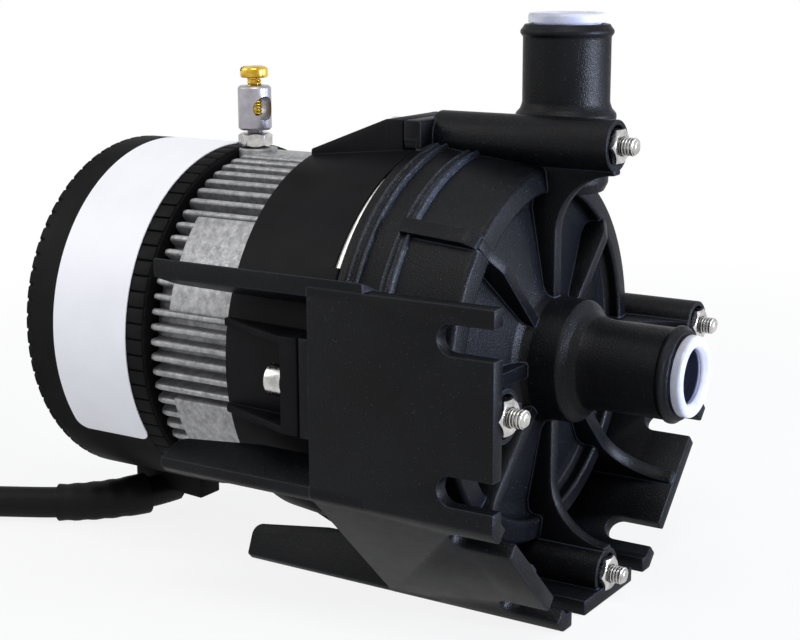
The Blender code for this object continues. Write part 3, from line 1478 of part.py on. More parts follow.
def cord_clamp_block(finish_material):
    """Block under the cap that holds the lead, with a stem through the cap's wall."""
    corners = list(BLOCK_LEFT_CORNERS)
    front = corners[0][1]
    rear = corners[-1][1]
    plan = corners + [(BLOCK_RIGHT, rear), (BLOCK_RIGHT, front)]
    middle = -(BLOCK_REACH + BLOCK_TOP_REACH) / 2
    body = flat("block", [plan], BLOCK_REACH - BLOCK_TOP_REACH, upright_frame(0, 0, middle))
    body = cut(body, [rod("cap_cutter", CAP_RADIUS + CLEARANCE, front - OVERSHOOT,
                          rear + OVERSHOOT, segments=ROUND)])
    stem_top = -CAP_RADIUS + CAP_WALL + 2.0
    stem = [(0, -BLOCK_REACH + 1.0), (BLOCK_STEM_RADIUS, -BLOCK_REACH + 1.0)]
    stem += [(BLOCK_STEM_RADIUS, stem_top), (0, stem_top)]
    stem_solid = upright("stem", stem, BLOCK_STEM_X, BLOCK_STEM_STATION, TINY_ROUND)
    body = cut(joined([body, stem_solid]), [lead_channel(CHANNEL_LENGTH)])
    return finish("cord_clamp_block", body, finish_material)


def cord_coil(finish_material):
    """Outer form of the coiled part of the lead."""
    low = COIL_BOTTOM - FOOT_REACH
    high = low + COIL_HEIGHT
    inner = COIL_RADIUS - COIL_HALF_WIDTH
    outer = COIL_RADIUS + COIL_HALF_WIDTH
    edge = CORD_RADIUS * 0.5
    outline = [
        (inner, low + edge),
        (inner + edge, low),
        (outer - edge, low),
        (outer, low + edge),
        (outer, high - edge),
        (outer - edge, high),
        (inner + edge, high),
        (inner, high - edge),
    ]
    ring = upright("coil", outline, COIL_X, COIL_STATION, 36)
    return finish("cord_coil", ring, finish_material)


def cord_tie(finish_material):
    """Strap around the section of the coil."""
    low = COIL_BOTTOM - FOOT_REACH
    gap = CLEARANCE
    inner = COIL_RADIUS - COIL_HALF_WIDTH - gap
    outer = COIL_RADIUS + COIL_HALF_WIDTH + gap
    bottom = low - gap
    top = low + COIL_HEIGHT + gap
    hole = [(inner, bottom), (outer, bottom), (outer, top), (inner, top)]
    t = TIE_THICK
    strap = [(inner - t, bottom - t), (outer + t, bottom - t), (outer + t, top + t)]
    strap.append((inner - t, top + t))
    loop = flat("tie", [strap, hole], TIE_WIDTH, Matrix.Identity(4))
    frame = Matrix(((1, 0, 0, 0), (0, 0, -1, 0), (0, 1, 0, 0), (0, 0, 0, 1)))
    placed(loop, Matrix.Translation(world(COIL_X, COIL_STATION, 0)) @ frame)
    return finish("cord_tie", loop, finish_material, smooth=False)


def cord_plug(finish_material):
    """Moulded plug with its own tapered boot."""
    length, width, height = PLUG_BODY
    boot_end = PLUG_BOOT_LENGTH + OVERSHOOT
    outline = [(0, 0), (CORD_RADIUS + 1.2, 0), (PLUG_BOOT_RADIUS, PLUG_BOOT_TAPER)]
    outline += [(PLUG_BOOT_RADIUS, boot_end), (0, boot_end)]
    boot = turned("plug_boot", outline, SMALL_ROUND)
    lay = Matrix.Rotation(math.radians(90), 4, "Y")
    placed(boot, upright_frame(PLUG_X, PLUG_STATION, -PLUG_DROP) @ lay)
    front = PLUG_X + PLUG_BOOT_LENGTH
    low = (front, PLUG_STATION - width / 2, -PLUG_DROP - height / 2)
    high = (front + length, PLUG_STATION + width / 2, -PLUG_DROP + height / 2)
    body = block("plug_body", low, high)
    bevel = body.modifiers.new("edges", "BEVEL")
    bevel.width = PLUG_BODY_EDGE * MM
    bevel.segments = 2
    body = joined([made_mesh(body), boot])
    return finish("cord_plug", cut(body, plug_pins(CLEARANCE)), finish_material)


def plug_pins(gap):
    """Two flat blades and a round earth pin, each grown by a gap."""
    front = PLUG_X + PLUG_BOOT_LENGTH + PLUG_BODY[0]
    length, thick, width = BLADE_SIZE
    pins = []
    for side in (-1, 1):
        station = PLUG_STATION + side * BLADE_OFFSET
        low = (front - BLADE_ROOT - gap, station - thick / 2 - gap, -BLADE_DROP - width / 2 - gap)
        high = (front + length, station + thick / 2 + gap, -BLADE_DROP + width / 2 + gap)
        pins.append(block("blade", low, high))
    earth = turned("earth", [(0, -BLADE_ROOT - gap), (EARTH_PIN_RADIUS + gap, -BLADE_ROOT - gap),
                             (EARTH_PIN_RADIUS + gap, EARTH_PIN_LENGTH - 1.0),
                             (EARTH_PIN_RADIUS + gap - 1.0, EARTH_PIN_LENGTH),
                             (0, EARTH_PIN_LENGTH)], TINY_ROUND)
    lay = Matrix.Rotation(math.radians(90), 4, "Y")
    placed(earth, upright_frame(front, PLUG_STATION, -PLUG_DROP - EARTH_PIN_DROP) @ lay)
    pins.append(earth)
    return pins


def cord_plug_pins(finish_material):
    """Metal blades and earth pin of the plug."""
    names = ("plug_blade_near", "plug_blade_far", "plug_earth_pin")
    for name, pin in zip(names, plug_pins(0.0)):
        finish(name, pin, finish_material)


def clear_scene():
    """Remove every object of the scene."""
    for obj in list(bpy.data.objects):
        bpy.data.objects.remove(obj, do_unlink=True)


def main():
    """Build every piece of the pump."""
    clear_scene()
    bpy.context.scene.collection.children.link(PARTS)
    bpy.context.scene.collection.children.link(CUTTERS)
    casing_black = material("casing_black", "#1b1b1d", 0.35)
    ring_black = material("ring_black", "#222224", 0.5)
    cap_black = material("cap_black", "#252527", 0.55)
    cast_aluminium = material("cast_aluminium", "#9a9a9c", 0.45, 1.0)
    bright_steel = material("bright_steel", "#c8c8c8", 0.25, 1.0)
    lug_metal = material("lug_metal", "#a8a6ac", 0.35, 1.0)
    brass = material("brass", "#d9b23a", 0.25, 1.0)
    stainless = material("stainless", "#b5b6b8", 0.3, 1.0)
    ceramic = material("ceramic", "#e8e4da", 0.2)
    carbon = material("carbon", "#2b2b2e", 0.4)
    magnet_grey = material("magnet_grey", "#4a4b50", 0.4)
    impeller_resin = material("impeller_resin", "#3a3b40", 0.45)
    lamination = material("lamination", "#6f7072", 0.4, 1.0)
    copper = material("copper", "#a5562c", 0.35, 1.0)
    insulation = material("insulation", "#d8cfae", 0.6)
    board_green = material("board_green", "#2f5a3a", 0.5)
    capacitor_grey = material("capacitor_grey", "#8b8d90", 0.4)
    terminal_white = material("terminal_white", "#d6d6d2", 0.5)
    plate_white = material("plate_white", "#e9eaf2", 0.35)
    plug_white = material("plug_white", "#dfe6ee", 0.25)
    seal_rubber = material("seal_rubber", "#161616", 0.6)
    cord_black = material("cord_black", "#141415", 0.5)
    tie_black = material("tie_black", "#1a1a1a", 0.5)
    volute_casing(casing_black)
    clamp_ring(ring_black)
    casing_bolts(bright_steel)
    casing_nuts(bright_steel)
    motor_housing(cast_aluminium)
    bonding_lug(lug_metal)
    bonding_nut(bright_steel)
    bonding_screw(brass)
    separation_can(stainless)
    casing_seal(seal_rubber)
    bearing_post(stainless)
    bearing_ball(ceramic)
    bearing_cup(carbon)
    rotor_magnet(magnet_grey)
    impeller(impeller_resin)
    stator_core(lamination)
    stator_windings(copper)
    winding_insulator(insulation)
    thermal_protector(insulation)
    terminal_board(board_green)
    run_capacitor(capacitor_grey)
    line_terminals(terminal_white)
    rear_cap(cap_black)
    rating_plate(plate_white)
    inlet_plug(plug_white)
    outlet_plug(plug_white)
    cord_clamp_block(cap_black)
    cord_boot(cord_black)
    power_cord(cord_black)
    cord_coil(cord_black)
    cord_tie(tie_black)
    cord_tail(cord_black)
    cord_plug(cord_black)
    cord_plug_pins(brass)


main()
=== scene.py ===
"""Looks of a circulator pump with a finned motor and a coiled mains lead.

Sizes are in millimetres. A station is a distance along the pump axis behind the front faces of
the casing nuts, a radius is measured from that axis, and angles about the axis start at the
right-hand side and pass through the top.
"""

import json
import logging
import math
from dataclasses import dataclass, field
from enum import Enum
from functools import cache
from typing import Any, Optional, Sequence

import bmesh
import bpy
from mathutils import Matrix, Vector

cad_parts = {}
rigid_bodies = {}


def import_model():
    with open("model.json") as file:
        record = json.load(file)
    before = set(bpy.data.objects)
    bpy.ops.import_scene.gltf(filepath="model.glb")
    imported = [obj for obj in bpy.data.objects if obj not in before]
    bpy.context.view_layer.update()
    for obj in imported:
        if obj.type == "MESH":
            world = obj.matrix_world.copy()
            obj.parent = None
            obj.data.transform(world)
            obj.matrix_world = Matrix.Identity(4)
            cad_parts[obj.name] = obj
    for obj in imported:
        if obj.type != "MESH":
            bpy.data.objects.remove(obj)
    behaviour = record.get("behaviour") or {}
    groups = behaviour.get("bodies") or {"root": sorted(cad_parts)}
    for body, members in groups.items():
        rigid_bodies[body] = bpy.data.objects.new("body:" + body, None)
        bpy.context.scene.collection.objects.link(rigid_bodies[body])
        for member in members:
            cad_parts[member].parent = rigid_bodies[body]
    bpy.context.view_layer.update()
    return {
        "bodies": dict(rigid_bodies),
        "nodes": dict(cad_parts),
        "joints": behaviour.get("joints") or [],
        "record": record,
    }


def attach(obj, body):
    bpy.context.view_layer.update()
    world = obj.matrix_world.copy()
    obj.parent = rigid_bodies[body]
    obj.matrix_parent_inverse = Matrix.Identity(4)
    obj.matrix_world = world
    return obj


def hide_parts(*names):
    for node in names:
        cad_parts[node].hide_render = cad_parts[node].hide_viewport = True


log = logging.getLogger("circulator_pump")

Point = tuple[float, float]

MM = 0.001
TINY = 1e-6

AXIS_HEIGHT = 53.0
ORIGIN_STATION = 22.0
INLET_FRONT = -15.5
OUTLET_X = 18.5
OUTLET_STATION = 22.7
OUTLET_TOP = 71.0
BOLT_CIRCLE = 47.0
EAR_HALF = 10.5
EAR_REACH = 51.0
HOUSING_FRONT = 44.6
GAP_START = 115.0
GAP_END = 149.5
LUG_X = -1.5
LUG_STATION = 94.6
LUG_SEAT = 41.4
NUT_FLATS = 7.0
NUT_THICK = 3.2
THREAD_PITCH = 0.7
HALF_CORNER = 22.5

SMOOTH_ANGLE = 32.0
FINE_TURN = 144
LEAST_BEND = 12.0
LONGEST_CUT = 0.45
ROUND_FACETS = 2


class Body(Enum):
    """Moving and fixed bodies of the pump."""

    PUMP = "pump"
    INLET_PLUG = "inlet_plug_body"
    OUTLET_PLUG = "outlet_plug_body"
    LUG_SCREW = "lug_screw"


class Corner(Enum):
    """Angles of the four casing bolts about the pump axis."""

    RIGHT = 0
    TOP = 90
    LEFT = 180
    BOTTOM = 270


def place(x: float, station: float, height: float) -> Vector:
    """Point in metres of a sideways place, a station and a height above the pump axis.

    Args:
        x: Distance to the right of the axis.
        station: Distance behind the nut faces.
        height: Height above the axis.

    Returns:
        The point in the frame of the part.
    """
    return Vector((x, station - ORIGIN_STATION, height + AXIS_HEIGHT)) * MM


def polar(radius: float, angle: float) -> Point:
    """Sideways place and height of a point about the axis.

    Args:
        radius: Distance from the axis.
        angle: Angle about the axis in degrees.

    Returns:
        The two coordinates.
    """
    turn = math.radians(angle)
    return radius * math.cos(turn), radius * math.sin(turn)


def axial_frame(x: float = 0.0, height: float = 0.0) -> Matrix:
    """Placement that lays a shape turned about local Z along the pump axis.

    Args:
        x: Sideways place of the turned shape's own axis.
        height: Height of its own axis above the pump axis.

    Returns:
        The placement.
    """
    lay = Matrix(((1, 0, 0, 0), (0, 0, 1, 0), (0, -1, 0, 0), (0, 0, 0, 1)))
    return Matrix.Translation(place(x, 0, height)) @ lay


def upright_frame(x: float, station: float, height: float = 0.0) -> Matrix:
    """Placement of a shape turned about local Z that stays upright.

    Args:
        x: Sideways place.
        station: Station of its axis.
        height: Height of its local origin above the pump axis.

    Returns:
        The placement.
    """
    return Matrix.Translation(place(x, station, height))


def radial_frame(angle: float) -> Matrix:
    """Placement of a flat (station, radius) outline in the plane at an angle about the axis.

    Args:
        angle: Angle about the pump axis in degrees.

    Returns:
        The placement.
    """
    c, s = polar(1.0, angle)
    turn = Matrix(((0, c, s, 0), (1, 0, 0, 0), (0, s, -c, 0), (0, 0, 0, 1)))
    return Matrix.Translation(place(0, 0, 0)) @ turn


def section_frame(station: float) -> Matrix:
    """Placement of a flat (x, height) outline across the axis.

    Args:
        station: Station of the outline's plane.

    Returns:
        The placement.
    """
    stand = Matrix(((1, 0, 0, 0), (0, 0, -1, 0), (0, 1, 0, 0), (0, 0, 0, 1)))
    return Matrix.Translation(place(0, station, 0)) @ stand


def around(section: Sequence[Point], angle: float) -> list[Vector]:
    """Points of a (radius, station) section at an angle about the axis.

    Args:
        section: The section.
        angle: Angle about the pump axis in degrees.

    Returns:
        The points in metres.
    """
    found = []
    for radius, station in section:
        x, height = polar(radius, angle)
        found.append(place(x, station, height))
    return found


def arc(centre: Point, radius: float, start: float, end: float, steps: int) -> list[Point]:
    """Points of a flat arc.

    Args:
        centre: Centre of the arc.
        radius: Its radius.
        start: First angle in degrees.
        end: Last angle in degrees.
        steps: Number of chords.

    Returns:
        The points from start to end.
    """
    points = []
    for i in range(steps + 1):
        turn = math.radians(start + (end - start) * i / steps)
        points.append((centre[0] + radius * math.cos(turn), centre[1] + radius * math.sin(turn)))
    return points


def sector(outer: float, inner: float, start: float, end: float, steps: int) -> list[Point]:
    """Outline of a strip between two radii about the axis.

    Args:
        outer: Larger radius.
        inner: Smaller radius.
        start: First angle in degrees.
        end: Last angle in degrees.
        steps: Chords along each side.

    Returns:
        The outline.
    """
    return (arc((0, 0), outer, start, end, steps)
            + arc((0, 0), inner, start, end, steps)[::-1])


def softened(points: Sequence[Point], cut: float, steps: int = 3,
             closed: bool = True) -> list[Point]:
    """Round every corner of an outline.

    Args:
        points: Corners of the outline.
        cut: Length taken off each side of a corner, where its sides allow it.
        steps: Chords in each rounded corner.
        closed: Whether the last point joins the first.

    Returns:
        The rounded outline.
    """
    result: list[Point] = []
    count = len(points)
    for i, corner in enumerate(points):
        if not closed and i in (0, count - 1):
            result.append(corner)
            continue
        here = Vector(corner)
        before = Vector(points[i - 1]) - here
        after = Vector(points[(i + 1) % count]) - here
        if min(before.length, after.length) < TINY or math.degrees(
                math.pi - before.angle(after)) < LEAST_BEND:
            result.append(corner)
            continue
        near = min(cut, before.length * LONGEST_CUT)
        far = min(cut, after.length * LONGEST_CUT)
        first = here + before.normalized() * near
        last = here + after.normalized() * far
        for k in range(steps + 1):
            t = k / steps
            point = first * (1 - t) ** 2 + here * 2 * t * (1 - t) + last * t ** 2
            result.append((point.x, point.y))
    return result


def linear(channel: float) -> float:
    """Linear value of one sRGB channel between 0 and 1."""
    if channel <= 0.04045:
        return channel / 12.92
    return ((channel + 0.055) / 1.055) ** 2.4


def colour(code: str) -> tuple[float, float, float, float]:
    """Linear colour of an sRGB hex code.

    Args:
        code: Colour such as "#1b1b1d".

    Returns:
        Red, green, blue and alpha.
    """
    red, green, blue = (linear(int(code[i:i + 2], 16) / 255) for i in (1, 3, 5))
    return red, green, blue, 1.0


def add_node(tree: bpy.types.NodeTree, kind: str, inputs: Optional[dict[Any, Any]] = None,
             **settings: Any) -> bpy.types.Node:
    """Add one node, set it up and link it.

    Args:
        tree: Tree that takes the node.
        kind: Type name of the node.
        inputs: Values or output sockets for its inputs, by name or number.
        settings: Properties of the node.

    Returns:
        The node.
    """
    node = tree.nodes.new(kind)
    for key, value in settings.items():
        setattr(node, key, value)
    for key, value in (inputs or {}).items():
        if isinstance(value, bpy.types.NodeSocket):
            tree.links.new(value, node.inputs[key])
        else:
            node.inputs[key].default_value = value
    return node


def fresh_material(name: str) -> tuple[bpy.types.Material, bpy.types.NodeTree]:
    """Empty node material.

    Args:
        name: Name of the material.

    Returns:
        The material and its tree.
    """
    material = bpy.data.materials.new(name)
    material.use_nodes = True
    material.node_tree.nodes.clear()
    return material, material.node_tree


def grain(tree: bpy.types.NodeTree, size_mm: float, detail: float = 3.0,
          rough: float = 0.55) -> bpy.types.NodeSocket:
    """Noise on Object coordinates whose blotches have a real size.

    Args:
        tree: Tree that takes the nodes.
        size_mm: Size of one blotch in millimetres.
        detail: Octaves of the noise.
        rough: Weight of the finer octaves.

    Returns:
        The noise value socket, between 0 and 1.
    """
    where = add_node(tree, "ShaderNodeTexCoord")
    noise = add_node(tree, "ShaderNodeTexNoise", {
        "Vector": where.outputs["Object"], "Scale": 1 / (size_mm * MM), "Detail": detail,
        "Roughness": rough})
    return noise.outputs["Fac"]


def spread(tree: bpy.types.NodeTree, value: bpy.types.NodeSocket, low: float, high: float,
           out_low: float, out_high: float) -> bpy.types.NodeSocket:
    """Value mapped from one range to another and held inside it.

    Args:
        tree: Tree that takes the node.
        value: Socket to map.
        low: Start of the input range.
        high: End of the input range.
        out_low: Result at the start.
        out_high: Result at the end.

    Returns:
        The mapped value socket.
    """
    node = add_node(tree, "ShaderNodeMapRange", {
        "Value": value, "From Min": low, "From Max": high, "To Min": out_low,
        "To Max": out_high})
    return node.outputs["Result"]


def blended(tree: bpy.types.NodeTree, share: bpy.types.NodeSocket, first: str,
            second: str) -> bpy.types.NodeSocket:
    """Colour between two hex colours.

    Args:
        tree: Tree that takes the node.
        share: Socket with the share of the second colour.
        first: Colour at 0.
        second: Colour at 1.

    Returns:
        The colour socket.
    """
    ramp = add_node(tree, "ShaderNodeValToRGB", {"Fac": share})
    ramp.color_ramp.elements[0].color = colour(first)
    ramp.color_ramp.elements[1].color = colour(second)
    return ramp.outputs["Color"]


def drifting(tree: bpy.types.NodeTree, pattern: bpy.types.NodeSocket, dark: str,
             light: str) -> bpy.types.NodeSocket:
    """Colour that drifts between two hex colours with a soft pattern.

    Args:
        tree: Tree that takes the nodes.
        pattern: Pattern between 0 and 1.
        dark: Colour where the pattern is low.
        light: Colour where it is high.

    Returns:
        The colour socket.
    """
    return blended(tree, spread(tree, pattern, 0.35, 0.65, 0, 1), dark, light)


def varied(tree: bpy.types.NodeTree, pattern: bpy.types.NodeSocket, middle: float,
           less: float, more: float) -> bpy.types.NodeSocket:
    """Roughness that a pattern moves a little below and above its middle.

    Args:
        tree: Tree that takes the node.
        pattern: Pattern between 0 and 1.
        middle: Usual roughness.
        less: Largest step below it.
        more: Largest step above it.

    Returns:
        The roughness socket.
    """
    return spread(tree, pattern, 0.3, 0.7, middle - less, middle + more)


def tinted(tree: bpy.types.NodeTree, share: bpy.types.NodeSocket, first: Any,
           second: Any) -> bpy.types.NodeSocket:
    """Colour mixed from two colours or colour sockets.

    Args:
        tree: Tree that takes the node.
        share: Share of the second one.
        first: Colour at 0.
        second: Colour at 1.

    Returns:
        The colour socket.
    """
    mix = add_node(tree, "ShaderNodeMix", {"Factor": share, 6: first, 7: second},
                   data_type="RGBA")
    return mix.outputs[2]


def relief(tree: bpy.types.NodeTree, height: bpy.types.NodeSocket, depth_mm: float,
           edge_mm: float = 0.0, strength: float = 1.0) -> bpy.types.NodeSocket:
    """Surface normal with fine relief and, where asked, softened edges.

    Args:
        tree: Tree that takes the nodes.
        height: Height pattern between 0 and 1.
        depth_mm: Real depth of the pattern.
        edge_mm: Radius over which edges look rounded.
        strength: Share of the relief.

    Returns:
        The normal socket.
    """
    inputs = {"Height": height, "Distance": depth_mm * MM, "Strength": strength}
    if edge_mm > 0:
        soft = add_node(tree, "ShaderNodeBevel", {"Radius": edge_mm * MM}, samples=4)
        inputs["Normal"] = soft.outputs["Normal"]
    return add_node(tree, "ShaderNodeBump", inputs).outputs["Normal"]


def shaded(tree: bpy.types.NodeTree, inputs: dict[str, Any]) -> None:
    """Add the Principled shader and the output.

    Args:
        tree: Tree that takes the nodes.
        inputs: Values or sockets of the shader.
    """
    shader = add_node(tree, "ShaderNodeBsdfPrincipled", inputs)
    add_node(tree, "ShaderNodeOutputMaterial", {"Surface": shader.outputs["BSDF"]})


@dataclass(frozen=True)
class MouldedPlastic:
    """Glass-filled black plastic with fine grain, flecks and, where asked, a painted highlight
    that makes its edges paler.
    """

    name: str
    dark: str
    light: str
    roughness: float = 0.4
    sheen: float = 0.15
    grazing: float = 0.25
    grain_mm: float = 0.4
    depth_mm: float = 0.016
    edge_mm: float = 0.45
    fleck_mm: float = 0.3
    fleck: str = "#4a535c"
    fleck_share: float = 0.05
    # Colour and share of the painted highlight on the edges.
    edge_highlight: str = "#383d48"
    edge_highlight_share: float = 0.0
    blotch_mm: float = 14.0
    polish_mm: float = 5.0

    def highlighted_edges(self, tree: bpy.types.NodeTree, base: bpy.types.NodeSocket) -> bpy.types.NodeSocket:
        """Colour with a painted highlight on the edges, paler where a bevelled normal leaves the
        true one.

        Args:
            tree: Tree that takes the nodes.
            base: Colour of the flat faces.

        Returns:
            The colour socket.
        """
        bevel = add_node(tree, "ShaderNodeBevel", {"Radius": self.edge_mm * MM}, samples=6)
        flat = add_node(tree, "ShaderNodeNewGeometry")
        turn = add_node(tree, "ShaderNodeVectorMath", {
            0: bevel.outputs["Normal"], 1: flat.outputs["Normal"]}, operation="DOT_PRODUCT")
        edge = spread(tree, turn.outputs["Value"], 0.99, 0.85, 0, self.edge_highlight_share)
        return tinted(tree, edge, base, colour(self.edge_highlight))

    def build(self) -> bpy.types.Material:
        """Make the material.

        Returns:
            The finished material.
        """
        material, tree = fresh_material(self.name)
        where = add_node(tree, "ShaderNodeTexCoord")
        cells = add_node(tree, "ShaderNodeTexVoronoi", {
            "Vector": where.outputs["Object"], "Scale": 1 / (self.fleck_mm * MM)})
        chosen = spread(tree, cells.outputs["Color"], 1 - self.fleck_share,
                        1 - self.fleck_share / 2, 0, 1)
        near = spread(tree, cells.outputs["Distance"], 0.2, 0.5, 1, 0)
        flecks = add_node(tree, "ShaderNodeMath", {0: chosen, 1: near}, operation="MULTIPLY")
        blotch = drifting(tree, grain(tree, self.blotch_mm), self.dark, self.light)
        base = tinted(tree, flecks.outputs[0], blotch, colour(self.fleck))
        fine = grain(tree, self.grain_mm, 2.0)
        rough = varied(tree, grain(tree, self.polish_mm), self.roughness, 0.02, 0.03)
        facing = add_node(tree, "ShaderNodeLayerWeight", {"Blend": 0.5}).outputs["Facing"]
        sheen = spread(tree, facing, 0.2, 0.6, self.sheen, self.sheen * self.grazing)
        # Painted highlight: paler colour along the edges.
        if self.edge_highlight_share:
            base = self.highlighted_edges(tree, base)
        shaded(tree, {
            "Base Color": base, "Roughness": rough, "Specular IOR Level": sheen,
            "Normal": relief(tree, fine, self.depth_mm, self.edge_mm)})
        return material


@dataclass(frozen=True)
class CastMetal:
    """Die-cast aluminium, mottled by the mould and dull between its bright grains."""

    name: str = "cast_aluminium_finish"
    dark: str = "#7e7e80"
    light: str = "#a6a6a8"
    roughness: float = 0.5
    metallic: float = 0.7
    mottle_mm: float = 1.8
    polish_mm: float = 0.7
    depth_mm: float = 0.03
    edge_mm: float = 0.3

    def build(self) -> bpy.types.Material:
        """Make the material.

        Returns:
            The finished material.
        """
        material, tree = fresh_material(self.name)
        mottle = grain(tree, self.mottle_mm, 5.0, 0.65)
        base = blended(tree, spread(tree, mottle, 0.36, 0.66, 0, 1), self.dark, self.light)
        rough = varied(tree, grain(tree, self.polish_mm), self.roughness, 0.1, 0.14)
        shaded(tree, {
            "Base Color": base, "Metallic": self.metallic, "Roughness": rough,
            "Normal": relief(tree, mottle, self.depth_mm, self.edge_mm, 0.8)})
        return material


@dataclass(frozen=True)
class TurnedMetal:
    """Turned or plated metal with faint tool marks, and painted shade in narrow nooks where
    asked.
    """

    name: str
    dark: str
    light: str
    roughness: float = 0.22
    blotch_mm: float = 2.5
    mark_mm: float = 0.5
    depth_mm: float = 0.002
    nook_shade_mm: float = 0.0
    nook_shade: str = "#2a2826"

    def build(self) -> bpy.types.Material:
        """Make the material.

        Returns:
            The finished material.
        """
        material, tree = fresh_material(self.name)
        marks = grain(tree, self.mark_mm, 4.0)
        base = drifting(tree, grain(tree, self.blotch_mm), self.dark, self.light)
        # Painted shade: darker where ambient occlusion finds nearby surfaces.
        if self.nook_shade_mm:
            open_air = add_node(tree, "ShaderNodeAmbientOcclusion",
                                {"Distance": self.nook_shade_mm * MM}, samples=8)
            bright = spread(tree, open_air.outputs["AO"], 0.25, 0.85, 0, 1)
            base = tinted(tree, bright, colour(self.nook_shade), base)
        rough = varied(tree, marks, self.roughness, 0.06, 0.1)
        shaded(tree, {
            "Base Color": base, "Metallic": 1.0, "Roughness": rough,
            "Normal": relief(tree, marks, self.depth_mm)})
        return material


@dataclass(frozen=True)
class SoftClearPlastic:
    """Milky soft plastic of the transit plugs, bluish where it is thick."""

    name: str = "milky_plastic"
    pale: str = "#f2f2fb"
    deep: str = "#dcdff2"
    roughness: float = 0.2
    clearness: float = 0.5
    haze_mm: float = 3.5
    depth_mm: float = 0.02
    refraction: float = 1.48

    def build(self) -> bpy.types.Material:
        """Make the material.

        Returns:
            The finished material.
        """
        material, tree = fresh_material(self.name)
        haze = grain(tree, self.haze_mm)
        base = drifting(tree, haze, self.pale, self.deep)
        shaded(tree, {
            "Base Color": base, "Roughness": self.roughness, "IOR": self.refraction,
            "Transmission Weight": self.clearness, "Normal": relief(tree, haze, self.depth_mm)})
        return material


@dataclass(frozen=True)
class PlainStock:
    """Plain stock of an inner or small piece, with slight variation in tone and polish."""

    name: str
    dark: str
    light: str
    roughness: float = 0.45
    metallic: float = 0.0
    blotch_mm: float = 3.0
    grain_mm: float = 0.4
    depth_mm: float = 0.02
    edge_mm: float = 0.15

    def build(self) -> bpy.types.Material:
        """Make the material.

        Returns:
            The finished material.
        """
        material, tree = fresh_material(self.name)
        blotch = grain(tree, self.blotch_mm)
        base = drifting(tree, blotch, self.dark, self.light)
        rough = varied(tree, blotch, self.roughness, 0.05, 0.07)
        shaded(tree, {
            "Base Color": base, "Metallic": self.metallic, "Roughness": rough,
            "Normal": relief(tree, grain(tree, self.grain_mm), self.depth_mm, self.edge_mm)})
        return material


# Glass-filled polyamide of the casing: 0.32 mm mould grain 0.11 mm deep, 0.26 mm filler flecks.
# Its edges carry a painted highlight in a pale cool colour.
CASING_PLASTIC = MouldedPlastic("casing_plastic", "#0b0b0d", "#101114", 0.33, 0.12,
                                grain_mm=0.32, depth_mm=0.11, fleck_mm=0.26, fleck="#464c55",
                                fleck_share=0.14, edge_highlight_share=0.9)
# Drum lips: paler, bluer polyamide and pale flecks as painted highlight: 0.32 mm grain, 0.26 mm
# flecks.
LIP_PAINTED_HIGHLIGHT = MouldedPlastic("lip_plastic", "#101217", "#232730", 0.36, 0.26, grain_mm=0.32,
                             depth_mm=0.16, fleck_mm=0.26, fleck="#6b7482", fleck_share=0.4)
# Matt glass-filled polyamide of the clamp ring: 0.4 mm grain, 0.3 mm flecks.
RING_PLASTIC = MouldedPlastic("ring_plastic", "#0f0f11", "#151517", 0.46, 0.07,
                              fleck="#2c2f33")
# Matt ABS of the cap: 0.4 mm grain, edges rounded by 0.3 mm.
CAP_PLASTIC = MouldedPlastic("cap_plastic", "#0f0f10", "#151516", 0.5, 0.07, edge_mm=0.3,
                             fleck="#26282b")
# Soft PVC of the mains lead: 0.4 mm grain, 14 mm drift in tone.
CORD_JACKET = MouldedPlastic("cord_jacket", "#0c0c0d", "#121213", 0.42, 0.12, fleck_share=0.0)
# Die-cast aluminium alloy: 1.8 mm mottle 0.03 mm deep, 0.7 mm changes of polish.
CAST_ALUMINIUM = CastMetal()
# Stainless steel of bolts and nuts: 0.5 mm tool marks, painted shade within 0.8 mm nooks.
BRIGHT_STEEL = TurnedMetal("bright_steel", "#a3a29f", "#cfcdc9", 0.2, nook_shade_mm=0.8)
# Nickel-plated brass of the lug: 0.5 mm tool marks, 2.5 mm drift in tone.
SATIN_NICKEL = TurnedMetal("satin_nickel", "#98969c", "#a8a6ac", 0.34)
# Freshly machined aluminium of the flange edge: 0.5 mm tool marks.
MACHINED_EDGE = TurnedMetal("machined_edge", "#d9d8d4", "#f0efec", 0.45)
# Polished brass of the lug screw: 0.5 mm tool marks, 2.5 mm drift in tone.
GOLD_BRASS = TurnedMetal("gold_brass", "#b8902a", "#e8c65a", 0.2)
# Stamped brass of the plug blades: 0.5 mm tool marks.
BLADE_BRASS = TurnedMetal("blade_brass", "#c8a75c", "#d2b268", 0.3)
# Soft polyethylene of the transit plugs: 3.5 mm haze, 0.02 mm deep.
MILKY_PLASTIC = SoftClearPlastic()
# The same polyethylene, clearer where the plug is thin, with a darker blue-grey colour as
# painted shade inside the port.
SHADED_CLEAR_CUP = SoftClearPlastic("clear_plastic", "#9aa2c4", "#8891b8", 0.15, 0.93)
# White polyester film of the rating plate: 12 mm drift in tone.
LABEL_FILM = PlainStock("label_film", "#f1f1f6", "#f5f5fa", 0.38, blotch_mm=12.0)
# Off-white polyamide of the three line terminals: 3 mm drift in tone, 0.4 mm grain.
TERMINAL_MOULDING = PlainStock("terminal_moulding", "#cfcfcb", "#dededa", 0.5)

